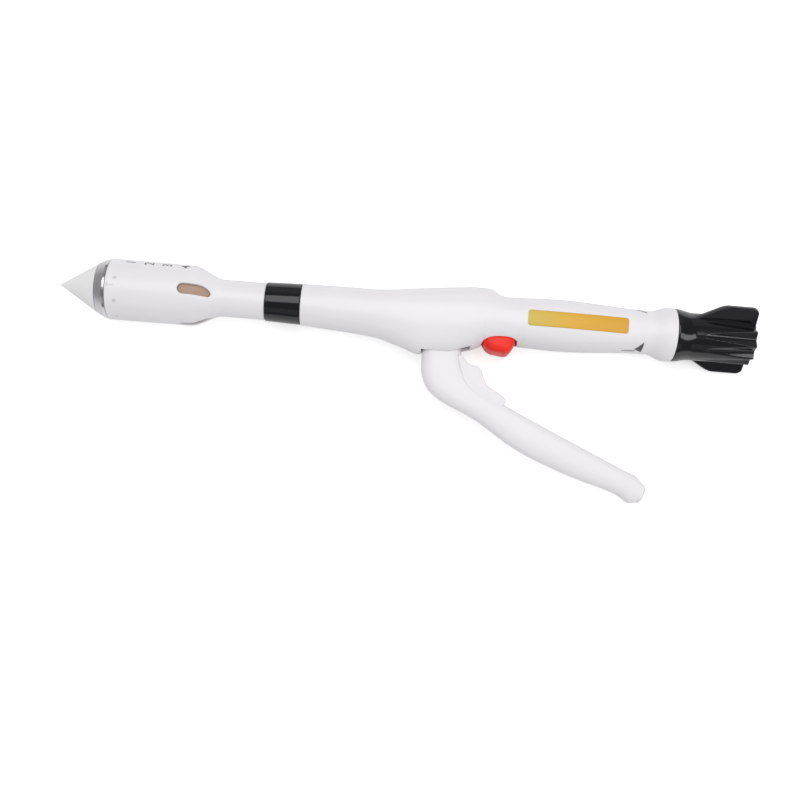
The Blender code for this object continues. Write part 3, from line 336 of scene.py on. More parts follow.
def piece(name, body, finish, *patches, stands_for=(), sharp=32, sheet=False):
    """An object from patches that rides on a body, takes its finish and hides the CAD nodes it
    replaces.
    """
    mesh = mesh_of(name, *patches)
    settle(mesh, sharp, sheet)
    made = shown(name, mesh)
    material, slot = finish
    mesh.materials.append(material)
    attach(made, body)
    if stands_for:
        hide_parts(*stands_for)
    return made


def walled(made, thickness, edge=0.0):
    """Give a sheet its wall inwards, and break the sharp edges of that wall."""
    wall = made.modifiers.new("wall", "SOLIDIFY")
    wall.thickness = thickness * 0.001
    wall.offset = -1.0
    wall.use_even_offset = True
    if edge:
        softened(made, edge)


def softened(made, edge, segments=2, angle=40):
    """Round the sharp edges of a piece."""
    step = made.modifiers.new("edges", "BEVEL")
    step.width = edge * 0.001
    step.segments = segments
    step.limit_method = "ANGLE"
    step.angle_limit = math.radians(angle)


print("piece helpers: settle, piece, walled, softened")

# %% Curves


def ease(t):
    """A smooth step: t clamped to 0..1, then 3t^2 - 2t^3."""
    t = np.clip(t, 0.0, 1.0)
    return t * t * (3 - 2 * t)


def flowing(stations, x):
    """A smooth curve through (x, value) stations without overshoot.

    Between two stations it is a Hermite piece. Its slope at a station is the harmonic mean of the
    slopes on both sides, or level at a peak.
    """
    known, values = np.array(stations, float).T
    slopes = np.diff(values) / np.diff(known)
    product = slopes[:-1] * slopes[1:]
    total = slopes[:-1] + slopes[1:]
    inner = np.where(product > 0, 2 * product / np.where(product > 0, total, 1.0), 0.0)
    tangents = np.concatenate([slopes[:1], inner, slopes[-1:]])
    x = np.asarray(x, float)
    i = np.clip(np.searchsorted(known, x, side="left") - 1, 0, len(known) - 2)
    span = known[i + 1] - known[i]
    t = np.clip((x - known[i]) / span, 0.0, 1.0)
    bend = t * (1 - t) * span
    step = ease(t) * (values[i + 1] - values[i])
    return values[i] + step + bend * (1 - t) * tangents[i] - bend * t * tangents[i + 1]


def through(points, t):
    """A Catmull-Rom curve through points.

    t counts the points, and the tangent at each is half the way between its neighbours.
    """
    points = np.asarray(points, float)
    i = np.clip(t.astype(int), 0, len(points) - 2)
    u = (t - i)[:, None]
    before = points[np.maximum(i - 1, 0)]
    start, end = points[i], points[i + 1]
    after = points[np.minimum(i + 2, len(points) - 1)]
    near, far = (end - before) / 2, (after - start) / 2
    return start + (end - start) * ease(u) + near * u * (1 - u) ** 2 - far * u**2 * (1 - u)


def rounded(outline, radius, steps=5):
    """A closed outline with each corner C turned into a curve.

    C is cut back by its radius, or near half an edge, to A and B. It becomes the curve
    (1-t)^2 A + 2t(1-t) C + t^2 B.
    """
    corners = np.array(outline, float)
    before = np.roll(corners, 1, 0) - corners
    after = np.roll(corners, -1, 0) - corners
    reach_before = np.linalg.norm(before, axis=1, keepdims=True)
    reach_after = np.linalg.norm(after, axis=1, keepdims=True)
    wish = np.broadcast_to(np.reshape(radius, (-1, 1)), reach_before.shape)
    cut = np.minimum(wish, 0.48 * np.minimum(reach_before, reach_after))
    t = np.linspace(0, 1, steps)[None, :, None]
    leave = (corners + before / reach_before * cut)[:, None]
    arrive = (corners + after / reach_after * cut)[:, None]
    curve = (1 - t) ** 2 * leave + 2 * t * (1 - t) * corners[:, None] + t**2 * arrive
    return curve.reshape(-1, corners.shape[1])


print("curve helpers: ease, flowing, through, rounded")

# %% Bodies


def circle(sides):
    """Angles round a circle."""
    return np.linspace(0, 2 * np.pi, sides, endpoint=False)


def turned(profile, sides=128):
    """A closed (s, radius) outline spun about the barrel."""
    angle = circle(sides)[None]
    grid = wound(profile[:, :1], np.maximum(profile[:, 1:], 0.0), angle)
    return patch(grid, around=True, closed=True)


def stacked(outlines, height):
    """A patch from outlines that lie at heights over each other."""
    z = np.broadcast_to(height[:, None, None], outlines.shape[:2] + (1,))
    return patch(np.concatenate([outlines, z], -1), around=True, ends=True)


def pillow(outline, low, high, edge, steps=5):
    """A plate from an outline whose edges are rounded on both sides.

    At an angle t from 0 to 90 degrees, each row is the outline moved inwards by edge (1 - sin t),
    at a height of edge (1 - cos t) from the plate's face.
    """
    outline = np.asarray(outline, float)
    ahead, behind = np.roll(outline, -1, 0), np.roll(outline, 1, 0)
    area = np.sum(outline[:, 0] * ahead[:, 1] - outline[:, 1] * ahead[:, 0])
    tangent = ahead - behind
    inward = np.stack([-tangent[:, 1], tangent[:, 0]], 1) * np.sign(area)
    inward /= np.maximum(np.linalg.norm(inward, axis=1, keepdims=True), 1e-9)
    t = np.linspace(0, np.pi / 2, steps)
    height = np.concatenate([low + edge * (1 - np.cos(t)), high - edge * (1 - np.cos(t[::-1]))])
    inset = np.concatenate([edge * (1 - np.sin(t)), edge * (1 - np.sin(t[::-1]))])
    return stacked(outline[None] + inward[None] * inset[:, None, None], height)


def tube(x, y, inner, outer, low, high, sides=40):
    """A round boss or post across the barrel: the loop of its wall swept about its own centre."""
    angle = circle(sides)[:, None]
    radius = np.array([inner, outer, outer, inner])[None]
    z = np.broadcast_to(np.array([low, low, high, high])[None], (sides, 4))
    grid = np.stack([x + radius * np.cos(angle), y + radius * np.sin(angle), z], -1)
    return patch(grid, around=True, closed=True)


print("body helpers: circle, turned, stacked, pillow, tube")

# %% [markdown]
# ## Moulded plastic
# The white parts are injection-moulded ABS: smooth, with a soft gloss, a very faint orange-peel from
# the mould, and a slight change of tone where the wall gets thick. The nose is a finer, drier
# moulding. One function gives each plastic its cloud of tone, uneven polish and mould grain.

# %% Plastics


def plastic(name, rgb, roughness, peel=0.05, mottle=0.01, coat=0.0, specular=0.5):
    """Moulded plastic: a colour that drifts by mottle, and bumps of peel at the mould's grain."""
    start, shader, made = finish_of(name)
    here = start.node("TexCoord", output=3)
    cloud = start.node("TexNoise", Vector=here, Scale=28.0, Detail=3.0)
    fine = start.node("TexNoise", Vector=here, Scale=900.0, Detail=2.0)
    skin = ((cloud - 0.35) * 3.0).clamp().mix(toned(rgb, 1 - mottle), toned(rgb, 1 + mottle))
    rub = roughness + (fine - 0.5) * (0.10 * roughness) + (cloud - 0.5) * (0.15 * roughness)
    bump = start.node("Bump", Strength=peel, Distance=0.00006, Height=fine)
    linked(start, shader, Base_Color=skin, Roughness=rub, Normal=bump, Coat_Weight=coat)
    shader.inputs["Coat Roughness"].default_value = 0.08
    shader.inputs["Specular IOR Level"].default_value = specular
    return made


white_abs = plastic("white_moulding", (234, 232, 235), 0.30), "white_abs"
insert_abs = plastic("insert_moulding", (233, 231, 234), 0.34, peel=0.08), "white_abs"
nose_abs = plastic("nose_moulding", (238, 237, 238), 0.42, peel=0.10), "nose_white"
ivory = plastic("ivory_nylon", (222, 217, 200), 0.45, peel=0.12), "ivory_plastic"
tan = plastic("tan_driver", (178, 149, 129), 0.5, peel=0.15, mottle=0.03), "tan_plastic"
red_abs = plastic("red_catch", (246, 44, 30), 0.34, mottle=0.03, specular=0.3), "red_plastic"
black_gloss = plastic("black_moulding", (18, 18, 23), 0.13, 0.04, 0.06, coat=0.2), "black_gloss"
print("plastics:", 7)

# %% [markdown]
# ## Metal
# The anvil is turned from stainless steel, so its fine grooves run round the barrel. The shade across
# them changes a little from groove to groove. Rods and pins are ground, and the nut is brass.

# %% Metals


def metal(name, rgb, roughness, grooves=0.2):
    """Turned metal: fine rings across the barrel's length in colour, roughness and bump."""
    start, shader, made = finish_of(name)
    here = start.node("TexCoord", output=3)
    along_barrel = start.node("SeparateXYZ", Vector=here)
    ring = start.node("TexNoise", {"noise_dimensions": "1D"}, W=along_barrel * 9000.0, Detail=2.0)
    cloud = start.node("TexNoise", Vector=here, Scale=120.0, Detail=3.0)
    skin = (ring * 0.6 + cloud * 0.4).mix(toned(rgb, 0.88), colour(*rgb))
    rub = roughness + (ring - 0.5) * (0.4 * roughness) + (cloud - 0.5) * (0.2 * roughness)
    bump = start.node("Bump", Strength=grooves, Distance=0.00003, Height=ring)
    linked(start, shader, Base_Color=skin, Roughness=rub, Normal=bump, Metallic=1.0)
    return made


bright_steel = metal("bright_steel", (214, 214, 216), 0.16, grooves=0.08), "steel"
ground_steel = metal("ground_steel", (190, 190, 192), 0.28, grooves=0.12), "steel"
spring_wire = metal("spring_wire", (186, 186, 190), 0.24, grooves=0.05), "spring_steel"
brass = metal("turned_brass", (205, 172, 104), 0.32), "brass"
print("metals:", 4)

# %% [markdown]
# The anvil has two finishes on one turning. Its cone is fine satin, and the band at its rim is
# polished. On the face that closes on the tissue, each staple has a pocket that turns its legs, and
# each pocket is painted dark grey as painted shade. Both follow from the place on the metal: how far
# along the barrel, how far out and at what angle.

# %% Anvil steel
STAPLE_RADII, STAPLES_IN_ROW = (12.5, 13.9), 16
start, shader, anvil_steel = finish_of("anvil_steel")
here = start.node("TexCoord", output=3)
axes = start.outlets("SeparateXYZ", "XYZ", Vector=here)
s, y, z = [(axis - float(zero)) * 1000.0 for axis, zero in zip(axes, ORIGIN)]
out = (y * y + z * z) ** 0.5
turn_share = start.math("ARCTAN2", y, z) / (2 * math.pi) + 1.0
polished = s.band(-1.8, 2.0, 0.3)
on_face = s.band(-0.45, 2.0, 0.2)
pockets = 0.0
for row, radius in enumerate(STAPLE_RADII):
    step = start.math("FRACT", turn_share * STAPLES_IN_ROW + (0.5 + row * 0.5))
    reach = start.math("ABSOLUTE", (step - 0.5) * (2 * math.pi * radius / STAPLES_IN_ROW))
    pockets = reach.band(-1.0, 1.7, 0.2) * out.band(radius - 0.42, radius + 0.42, 0.15) + pockets
pocket = pockets * on_face
ring = start.node("TexNoise", {"noise_dimensions": "1D"}, W=s * 9.0, Detail=2.0)
streak = start.node("TexNoise", Vector=here, Scale=160.0, Detail=3.0)
satin = (ring * 0.5 + streak * 0.5).mix(colour(208, 205, 210), colour(226, 223, 228))
shine = polished.mix(satin, colour(222, 222, 224))
# The pockets' dark grey is painted shade in the recesses; their depth itself comes from the bump
# below.
steel_with_pocket_shade = pocket.mix(shine, colour(120, 120, 124))
rub = 0.42 - polished * 0.22 + (ring - 0.5) * 0.10
relief = start.node("Bump", Strength=0.5, Distance=0.0003, Height=1.0 - pocket)
grooves = start.node("Bump", Strength=0.15, Distance=0.00003, Height=ring, Normal=relief)
linked(start, shader, Base_Color=steel_with_pocket_shade, Roughness=rub, Normal=grooves, Metallic=1.0)
print("staple pockets on the anvil:", len(STAPLE_RADII) * STAPLES_IN_ROW)

# %% [markdown]
# ## Nose, anvil and band
# These are turned or moulded in the round, so each is a profile spun about the barrel. Softened
# corners in the profile catch the light as a real edge does.

# %% Turned pieces
nose_tip, nose_base = ends_of("anvil_nose")
nose_outline = [(nose_tip, 0.0), (nose_tip, 0.75), (nose_tip + 0.9, 1.0), (nose_base, 13.78)]
nose_outline += [(nose_base, 2.9), (nose_base - 7.7, 2.9), (nose_base - 7.7, 0.0)]
nose_profile = rounded(nose_outline, [0.0, 0.6, 0.5, 0.35, 0.2, 0.1, 0.0])
piece("nose_cone", "anvil", nose_abs, turned(nose_profile), stands_for=("anvil_nose",))

anvil_outline = [(-6.3, 2.9), (-6.3, 13.9), (-1.8, 16.1), (-1.65, 16.2), (-0.3, 16.2)]
anvil_outline += [(-0.3, 11.5), (-3.7, 11.5), (-3.7, 2.9)]
anvil_profile = rounded(anvil_outline, [0.1, 0.15, 0.1, 0.1, 0.25, 0.15, 0.2, 0.1])
anvil_body = turned(anvil_profile, 160)
piece("anvil_turning", "anvil", (anvil_steel, "steel"), anvil_body, stands_for=("anvil_head",))

band_front, band_rear = ends_of("band_sleeve")
band_outline = [(band_front, 9.2), (band_front, 10.6), (band_rear, 11.2), (band_rear, 9.2)]
band_profile = rounded(band_outline, [0.1, 0.45, 0.45, 0.1])
piece("band_cover", "housing", black_gloss, turned(band_profile), stands_for=("band_sleeve",))
print("turned pieces: nose_cone, anvil_turning, band_cover")

# %% [markdown]
# ## The casing and its windows
# The casing is one moulding: a wide drum, an S-shaped taper, the barrel and a spigot. Four windows
# cut through it. A Boolean cut would leave long thin triangles that spoil the gloss. So the grid's
# columns bend round each window's edge instead, the space between them stays open, and the sheet
# gets its wall last.

# %% Casing and window outlines
DRUM_RADIUS, DRUM_DRAFT, DRUM_LENGTH = 16.6, 0.25, 43.9
TAPER_STEP, TAPER_LENGTH = 6.251, 17.5
WINDOW_FRONT, WINDOW_BEND, WINDOW_SLOPE, WINDOW_REAR = 38.4, 41.4, 48.4, 55.9
WINDOW_HALF, WINDOW_LOW_REAR, WINDOW_CORNER = 3.0, -1.4, 1.6


def casing_radius(s):
    """The skin's radius: a slight draft on the drum, then a smooth step down to the barrel."""
    drum = DRUM_RADIUS - DRUM_DRAFT * np.clip(s / DRUM_LENGTH, 0, 1)
    return drum - TAPER_STEP * ease((s - DRUM_LENGTH) / TAPER_LENGTH)


def window_edges(s):
    """The window's lower and upper edges at s, in mm across it.

    The front is a half circle. Behind, the upper edge falls along a quarter ellipse and the lower
    one rises round a small quarter circle, until both meet. Off the window both edges are one line.
    """
    front = np.sqrt(np.clip(WINDOW_HALF**2 - (s - WINDOW_BEND) ** 2, 0, None))
    fall = np.clip((s - WINDOW_SLOPE) / (WINDOW_REAR - WINDOW_SLOPE), 0, 1)
    upper = WINDOW_HALF + (WINDOW_HALF - WINDOW_LOW_REAR) * (np.sqrt(1 - fall**2) - 1)
    bend = np.clip((s - WINDOW_REAR + WINDOW_CORNER) / WINDOW_CORNER, 0, 1)
    lower = -WINDOW_HALF + WINDOW_CORNER * (1 - np.sqrt(1 - bend**2))
    ahead = s < WINDOW_BEND
    return np.where(ahead, -front, lower), np.where(ahead, front, upper)


print("the barrel's radius:", round(float(casing_radius(80.0)), 2))

# %% [markdown]
# Each quadrant of the casing is a fan of columns that starts at one window's upper edge and ends at
# the next one's lower edge. Rows stand close together where a window's outline bends.

# %% Casing
BARREL_END, SPIGOT_END, SPIGOT_RADIUS, CASING_WALL, COLUMNS = 84.2, 111.3, 8.9, 1.5, 26
RIM_ROUND, RIM_DROP = 0.3, 0.25
quarter = np.linspace(0, np.pi / 2, 12)
dense = np.concatenate([
    WINDOW_BEND - WINDOW_HALF * np.cos(quarter),
    WINDOW_SLOPE + (WINDOW_REAR - WINDOW_SLOPE) * np.sin(quarter),
    np.linspace(WINDOW_BEND, WINDOW_SLOPE, 8),
])
before_window = np.linspace(1.2, WINDOW_FRONT - 0.6, 32)
behind_window = np.linspace(WINDOW_REAR + 0.5, BARREL_END, 34)
rows = np.sort(np.concatenate([[0.0, 0.1, RIM_ROUND], before_window, behind_window, dense]))
rows = rows[np.diff(rows, prepend=-1.0) > 0.02]
from_rim = np.clip(1 - rows / RIM_ROUND, 0, 1)
radius = casing_radius(rows) - RIM_DROP * (1 - np.sqrt(1 - from_rim**2))
rows = np.concatenate([rows, [BARREL_END, 97.0, SPIGOT_END]])
radius = np.concatenate([radius, np.full(3, SPIGOT_RADIUS)])
lower, upper = window_edges(rows)
low_angle, high_angle = np.arcsin(lower / radius), np.arcsin(upper / radius)
share = np.linspace(0, 1, COLUMNS)
quadrants = []
for quadrant in range(4):
    here = quadrant * np.pi / 2
    start_angle = (here + high_angle)[:, None]
    end_angle = (here + np.pi / 2 + low_angle)[:, None]
    quadrants.append(start_angle + (end_angle - start_angle) * share)
angle = np.concatenate(quadrants, 1)
keep = np.ones((len(rows) - 1, angle.shape[1]), bool)
keep[:, COLUMNS - 1 :: COLUMNS] = False
skin = patch(wound(rows[:, None], radius[:, None], angle), around=True, keep=keep)
casing = piece("casing_skin", "housing", white_abs, skin, stands_for=("head_casing",), sheet=True)
walled(casing, CASING_WALL)
print("casing rows:", len(rows), "columns:", angle.shape[1])

# %% [markdown]
# ## The housing
# Each half is a moulded shell. Its outline swells to a hump above and a belly below, and its section
# goes from a circle at both ends to a fuller, squarer oval between. The grid has columns that stay at
# a fixed width near the bottom, so that the two slots get straight sides without any cutting.

# %% Housing section
FRONT, REAR = ends_of("housing_left")


def centre(node):
    """The middle of a node's box in barrel millimetres."""
    low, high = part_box(node)
    return (np.array(low + high) / 2 - ORIGIN) * 1000


PIVOT, CATCH = centre("lever_pin"), centre("catch_pin")
TOP = [(-1, 11.3), (-0.5, 11.3), (-0.13, 14.25), (0.08, 16.51), (0.14, 17.2), (0.185, 17.2)]
TOP += [(0.215, 16.43), (0.246, 13.86), (0.285, 13.02), (0.51, 14.0), (0.893, 11.9)]
TOP += [(0.972, 14.6), (1, 14.6)]
LOW = [(-1, 11.3), (-0.482, 14.35), (-0.274, 18.83), (-0.143, 21.9), (0.018, 21.9), (0.115, 18.62)]
LOW += [(0.185, 14.56), (0.27, 13.16), (0.51, 14.0), (0.893, 11.54), (0.972, 14.8), (1, 14.6)]
HALF = [(-1, 11.3), (0, 14.2), (0.27, 13.4), (0.51, 13.4), (0.893, 11.9), (0.972, 14.6), (1, 14.6)]


def along_housing(share):
    """The s at a share of the way from the lever's pivot to the front (-1) or the rear (1)."""
    share = np.asarray(share, float)
    return PIVOT[0] + share * np.where(share > 0, REAR - PIVOT[0], PIVOT[0] - FRONT)


def housing_edges(s):
    """The height above, the depth below and the half width of the housing at s."""
    outlines = [np.array(stations, float) for stations in (TOP, LOW, HALF)]
    return [flowing(np.stack([along_housing(o[:, 0]), o[:, 1]], 1), s) for o in outlines]


def housing_power(s):
    """The section's exponent: 2, a circle, at both ends, and 2.35 from 20 mm inwards."""
    return 2 + 0.35 * ease(np.minimum(s - FRONT, REAR - s) / 20)


def housing_section(s, angle, inset=0.0):
    """y and z on the skin, where |y/reach|^p + |z/half|^p = 1, moved inwards by inset."""
    top_reach, low_reach, half = housing_edges(s)
    power = housing_power(s)
    up, out = np.sin(angle), np.cos(angle)
    y = np.sign(up) * np.abs(up) ** (2 / power) * (np.where(up > 0, top_reach, low_reach) - inset)
    return y, np.abs(out) ** (2 / power) * (half - inset)


def on_grip(s, y, rise=0.0):
    """z of the skin at s and y: half (1 - |y/reach|^p)^(1/p), plus a rise."""
    top_reach, low_reach, half = housing_edges(s)
    power = housing_power(s)
    share = np.clip(np.abs(y) / np.where(y > 0, top_reach, low_reach), 0, 1)
    return half * (1 - share**power) ** (1 / power) + rise


print("housing from", round(FRONT, 1), "to", round(REAR, 1), "mm; pivot at", PIVOT.round(1))

# %% Housing shells
SEAM, SHELL_WALL, SHELL_EDGE, NECK_BORE = 0.15, 2.0, 0.3, 7.9
LEVER_SLOT = PIVOT[0] - 10.0, PIVOT[0] + 16.6
CATCH_SLOT = CATCH[0] - 4.2, CATCH[0] + 15.5
lines = np.array([SEAM, 2.2, 4.3, 6.4, 7.9, 9.4])
exact = np.array([*LEVER_SLOT, *CATCH_SLOT])
even = np.linspace(FRONT, REAR, 180)
even = even[np.min(np.abs(even[:, None] - exact[None]), 1) > 0.7]
rows = np.sort(np.concatenate([even, exact]))
half, power = housing_edges(rows)[2][:, None], housing_power(rows)[:, None]
slot_middle, slot_reach = sum(CATCH_SLOT) / 2, (CATCH_SLOT[1] - CATCH_SLOT[0]) / 2
from_middle = np.abs(rows - slot_middle) / slot_reach
slot_round = np.maximum((1 - np.minimum(from_middle, 1) ** 4) ** 0.25, 0.2)
slot_round = np.where(from_middle > 1, 0.2 + 0.8 * ease((from_middle - 1) * 3), slot_round)[:, None]
line_angle = -np.arccos((np.maximum(lines[None] * slot_round, SEAM) / half) ** (power / 2))
seam_angle = np.arccos((SEAM / half) ** (power / 2))
share = np.linspace(0, 1, 76)[None, 1:]
last_line = line_angle[:, -1:]
angle = np.concatenate([line_angle, last_line + (seam_angle - last_line) * share], 1)
y, z = housing_section(rows[:, None], angle)
inward = np.linspace(1, NECK_BORE / TOP[-1][1], 5)[1:, None]
y = np.concatenate([y, y[-1:] * inward])
z = np.concatenate([z, np.maximum(z[-1:] * inward, SEAM)])
rows = np.concatenate([rows, np.full(4, REAR)])
middle = (rows[:-1] + rows[1:]) / 2
keep = np.ones((len(rows) - 1, z.shape[1] - 1), bool)
for (start_s, end_s), columns in ((LEVER_SLOT, 3), (CATCH_SLOT, 5)):
    keep[(middle > start_s) & (middle < end_s), :columns] = False
for side, name in ((1, "left"), (-1, "right")):
    grid = np.stack([np.broadcast_to(rows[:, None], y.shape), y, side * z], -1)
    skin, solid = patch(grid, keep=keep), "housing_" + name
    shell = piece("shell_" + name, "housing", white_abs, skin, stands_for=(solid,), sheet=True)
    walled(shell, SHELL_WALL, SHELL_EDGE)
print("shell rows:", len(rows), "columns:", z.shape[1])

# %% [markdown]
# Inside each shell stand ribs that hold the screw guide, the wall that holds the knob's neck, posts
# whose pegs line up the halves, and the bosses of both pins. They are separate from the skin, so
# that the skin's wall stays even.

# %% Housing inside
RIBS = (258.5, 260.2, 7.5), (268.8, 270.5, 7.5), (300.8, 304.5, NECK_BORE)
POSTS = (-0.25, -1), (0.11, 1), (0.42, 1), (0.81, 1)
POST, PEG, PEG_HOLE, BOSS = 2.6, 1.3, 1.6, 3.0


def rib(start_s, end_s, bore, side):
    """A wall across one half: its section from the bore to the skin, swept from seam to seam."""
    angle = np.linspace(-np.pi / 2, np.pi / 2, 61)
    y, z = housing_section((start_s + end_s) / 2, angle, 1.0)
    near = np.stack([bore * np.sin(angle), np.maximum(bore * np.cos(angle), SEAM)])
    far = np.stack([y, np.maximum(z, SEAM)])
    corners = [(start_s, near), (start_s, far), (end_s, far), (end_s, near)]
    loop = [np.stack([np.full(61, s), spot[0], side * spot[1]], 1) for s, spot in corners]
    return patch(np.stack(loop, 1), around=True, ends=True)


for side, name in ((1, "left"), (-1, "right")):
    inside = [rib(*measures, side) for measures in RIBS]
    for share, flank in POSTS:
        s = float(along_housing(share))
        reach = float(housing_edges(s)[0 if flank > 0 else 1]) - 3.3
        end_z = float(on_grip(s, np.array(flank * (reach + POST)))) - 0.5
        if side > 0:
            inside += [tube(s, flank * reach, 0.0, POST, SEAM, end_z)]
            inside += [tube(s, flank * reach, 0.0, PEG, -3.6, 1.0)]
        else:
            inside += [tube(s, flank * reach, PEG_HOLE, POST, -end_z, -SEAM)]
    for (s, y), floor, hole in ((PIVOT[:2], 8.1, 1.9), (CATCH[:2], 9.2, 1.55)):
        end_z = float(on_grip(s, np.array(y - BOSS))) - 0.8
        inside += [tube(s, y, hole, BOSS, side * floor, side * end_z)]
    piece("bracing_" + name, "housing", white_abs, *inside)
print("braced halves:", 2)

# %% [markdown]
# ## Label plate, figures and marks
# A yellow plate sits flush on the grip. The casing has plain figures for its depth, which stand
# sideways near its top, and small index marks. An arrow on the grip shows which way the knob turns.

# %% Label plate
LABEL_START, LABEL_END, LABEL_MIDDLE, LABEL_HALF, LABEL_ROUND = 226.0, 280.2, 0.35, 4.3, 1.5


def label_plastic():
    """Yellow film: the colour deepens along the plate, and the film has a soft sheen."""
    start, shader, made = finish_of("label_film")
    here = start.node("TexCoord", output=3)
    s = (start.node("SeparateXYZ", Vector=here) - float(ORIGIN[0])) * 1000.0
    share = (s - LABEL_START) / 54.0
    cloud = start.node("TexNoise", Vector=here, Scale=90.0, Detail=2.0)
    left = (share * 2.2).clamp().mix(colour(205, 184, 72), colour(222, 168, 38))
    skin = ((share - 0.45) * 1.8).clamp().mix(left, colour(217, 160, 42))
    fleck = (cloud * 0.08).mix(skin, colour(240, 205, 110))
    rub = 0.34 + (cloud - 0.5) * 0.12
    bump = start.node("Bump", Strength=0.08, Distance=0.00005, Height=cloud)
    linked(start, shader, Base_Color=fleck, Roughness=rub, Normal=bump)
    return made


bend = LABEL_ROUND * (1 - np.cos(np.linspace(0, np.pi / 2, 8)))
straight = np.linspace(LABEL_START + 3, LABEL_END - 3, 30)
label_s = np.concatenate([LABEL_START + bend, straight, LABEL_END - bend[::-1]])
to_end = np.minimum(label_s - LABEL_START, LABEL_END - label_s)
from_end = np.clip(LABEL_ROUND - to_end, 0, LABEL_ROUND)
label_half = LABEL_HALF - LABEL_ROUND + np.sqrt(LABEL_ROUND**2 - from_end**2)
label_y = LABEL_MIDDLE + label_half[:, None] * np.linspace(-1, 1, 17)[None]
label_s = np.broadcast_to(label_s[:, None], label_y.shape)
grid = np.stack([label_s, label_y, on_grip(label_s, label_y, 0.12)], -1)
label = piece("label_plate", "housing", (label_plastic(), "white_abs"), patch(grid), sheet=True)
walled(label, 0.3)
print("label plate in mm:", round(LABEL_END - LABEL_START, 1), "x", 2 * LABEL_HALF)

# %% Print


def ink(name, rgb):
    """Pad print: a thin ink that is a little uneven, drier than the plastic under it."""
    start, shader, made = finish_of(name)
    here = start.node("TexCoord", output=3)
    worn = start.node("TexNoise", Vector=here, Scale=1500.0, Detail=3.0)
    base = colour(*rgb)
    pale = (*np.minimum(np.array(base[:3]) * 1.5 + 0.02, 1).tolist(), 1.0)
    skin = ((worn - 0.4) * 2.0).clamp().mix(base, pale)
    linked(start, shader, Base_Color=skin, Roughness=0.5 + (worn - 0.5) * 0.2)
    return made


dark_ink = ink("figure_ink", (78, 78, 82)), "black_gloss"
pale_ink = ink("index_ink", (200, 198, 201)), "white_abs"


def casing_print(s, arc, rise=0.05):
    """A spot of print on the casing: s along it, and arc in mm round it from the flank upwards."""
    radius = casing_radius(s)
    return wound(s, radius + rise, arc / radius)


def figure_patch(text, height, s, arc):
    """A figure's outline as faces, turned on its side and wrapped round the casing.

    The glyph's own up becomes minus s, and its reading direction becomes the arc.
    """
    glyph = bpy.data.curves.new(text, "FONT")
    glyph.body = text
    glyph.size = height
    glyph.offset = 0.02
    glyph.align_x, glyph.align_y = "CENTER", "CENTER"
    holder = shown("glyph", glyph)
    bpy.context.view_layer.update()
    flat = bpy.data.meshes.new_from_object(holder.evaluated_get(bpy.context.evaluated_depsgraph_get()))
    bpy.data.objects.remove(holder)
    cuts = bmesh.new()
    cuts.from_mesh(flat)
    bmesh.ops.triangulate(cuts, faces=cuts.faces)
    bmesh.ops.subdivide_edges(cuts, edges=cuts.edges, cuts=2, use_grid_fill=True)
    cuts.to_mesh(flat)
    cuts.free()
    spots = np.empty(len(flat.vertices) * 3)
    flat.vertices.foreach_get("co", spots)
    spots = spots.reshape(-1, 3)
    faces = [list(face.vertices) for face in flat.polygons]
    return casing_print(s - spots[:, 1], arc + spots[:, 0]), faces


FIGURE_HEIGHT, FIGURE_ARC, FIGURE_PLACES = 7.2, 15.3, (11.3, 21.3, 31.0, 40.7)
figures = [figure_patch(text, FIGURE_HEIGHT, s, FIGURE_ARC) for text, s in zip("1234", FIGURE_PLACES)]
piece("depth_figures", "housing", dark_ink, *figures, sheet=True)


def between(corners, rows):
    """A grid of spots between four corners a, b, c and d, which are mixed by their shares u and v."""
    a, b, c, d = np.array(corners, float)
    u, v = np.meshgrid(np.linspace(0, 1, rows), np.linspace(0, 1, rows), indexing="ij")
    u, v = u[..., None], v[..., None]
    spot = (a * (1 - v) + b * v) * (1 - u) + (d * (1 - v) + c * v) * u
    return spot[..., 0], spot[..., 1]


def mark(corners):
    """A small quadrilateral of print between four (s, arc) corners."""
    return patch(casing_print(*between(corners, 4)))


def bar(s, arc, reach):
    """A mark that is 2 mm long, with its middle at s and arc."""
    signs = np.array([(-1, -1), (-1, 1), (1, 1), (1, -1)])
    return mark((s, arc) + signs * (1.0, reach))


marks = [bar(5.1, 2.5, 0.9), bar(5.4, -9.9, 0.9), bar(5.5, -20.9, 0.5)]
marks += [mark([(1.0, -0.2), (1.0, -2.8), (2.2, -1.5), (2.2, -1.5)]), bar(3.9, -1.4, 0.18)]
piece("index_marks", "housing", pale_ink, *marks, sheet=True)
print("figures:", len(figures), "marks:", len(marks))

# %% Rotation arrow


def grip_mark(corners):
    """Print on the grip between four (s, angle in degrees above the flank's middle) corners."""
    s, degrees = between(corners, 9)
    y, z = housing_section(s, np.radians(degrees), -0.06)
    return patch(np.stack([s, y, z], -1))


SHAFT = [(278.5, -73.3), (278.5, -76.0), (285.6, -75.5), (285.6, -71.0)]
HEAD = [(285.0, -64.5), (289.2, -79.5), (289.4, -36.5), (289.4, -36.5)]
STROKE = [(284.2, 61.5), (284.2, 63.5), (290.3, 50.0), (290.3, 44.5)]
arrow = [grip_mark(corners) for corners in (SHAFT, HEAD, STROKE)]
piece("turning_arrow", "housing", dark_ink, *arrow, sheet=True)
print("arrow patches:", len(arrow))

# %% [markdown]
# ## The firing lever
# The lever is one long moulding. Two edge curves give its side view, and a rounded section runs
# between them, fuller on the grip's side and rounder on the far one. Its tip closes with a quarter
# round. The hub and the fork sit inside the housing.

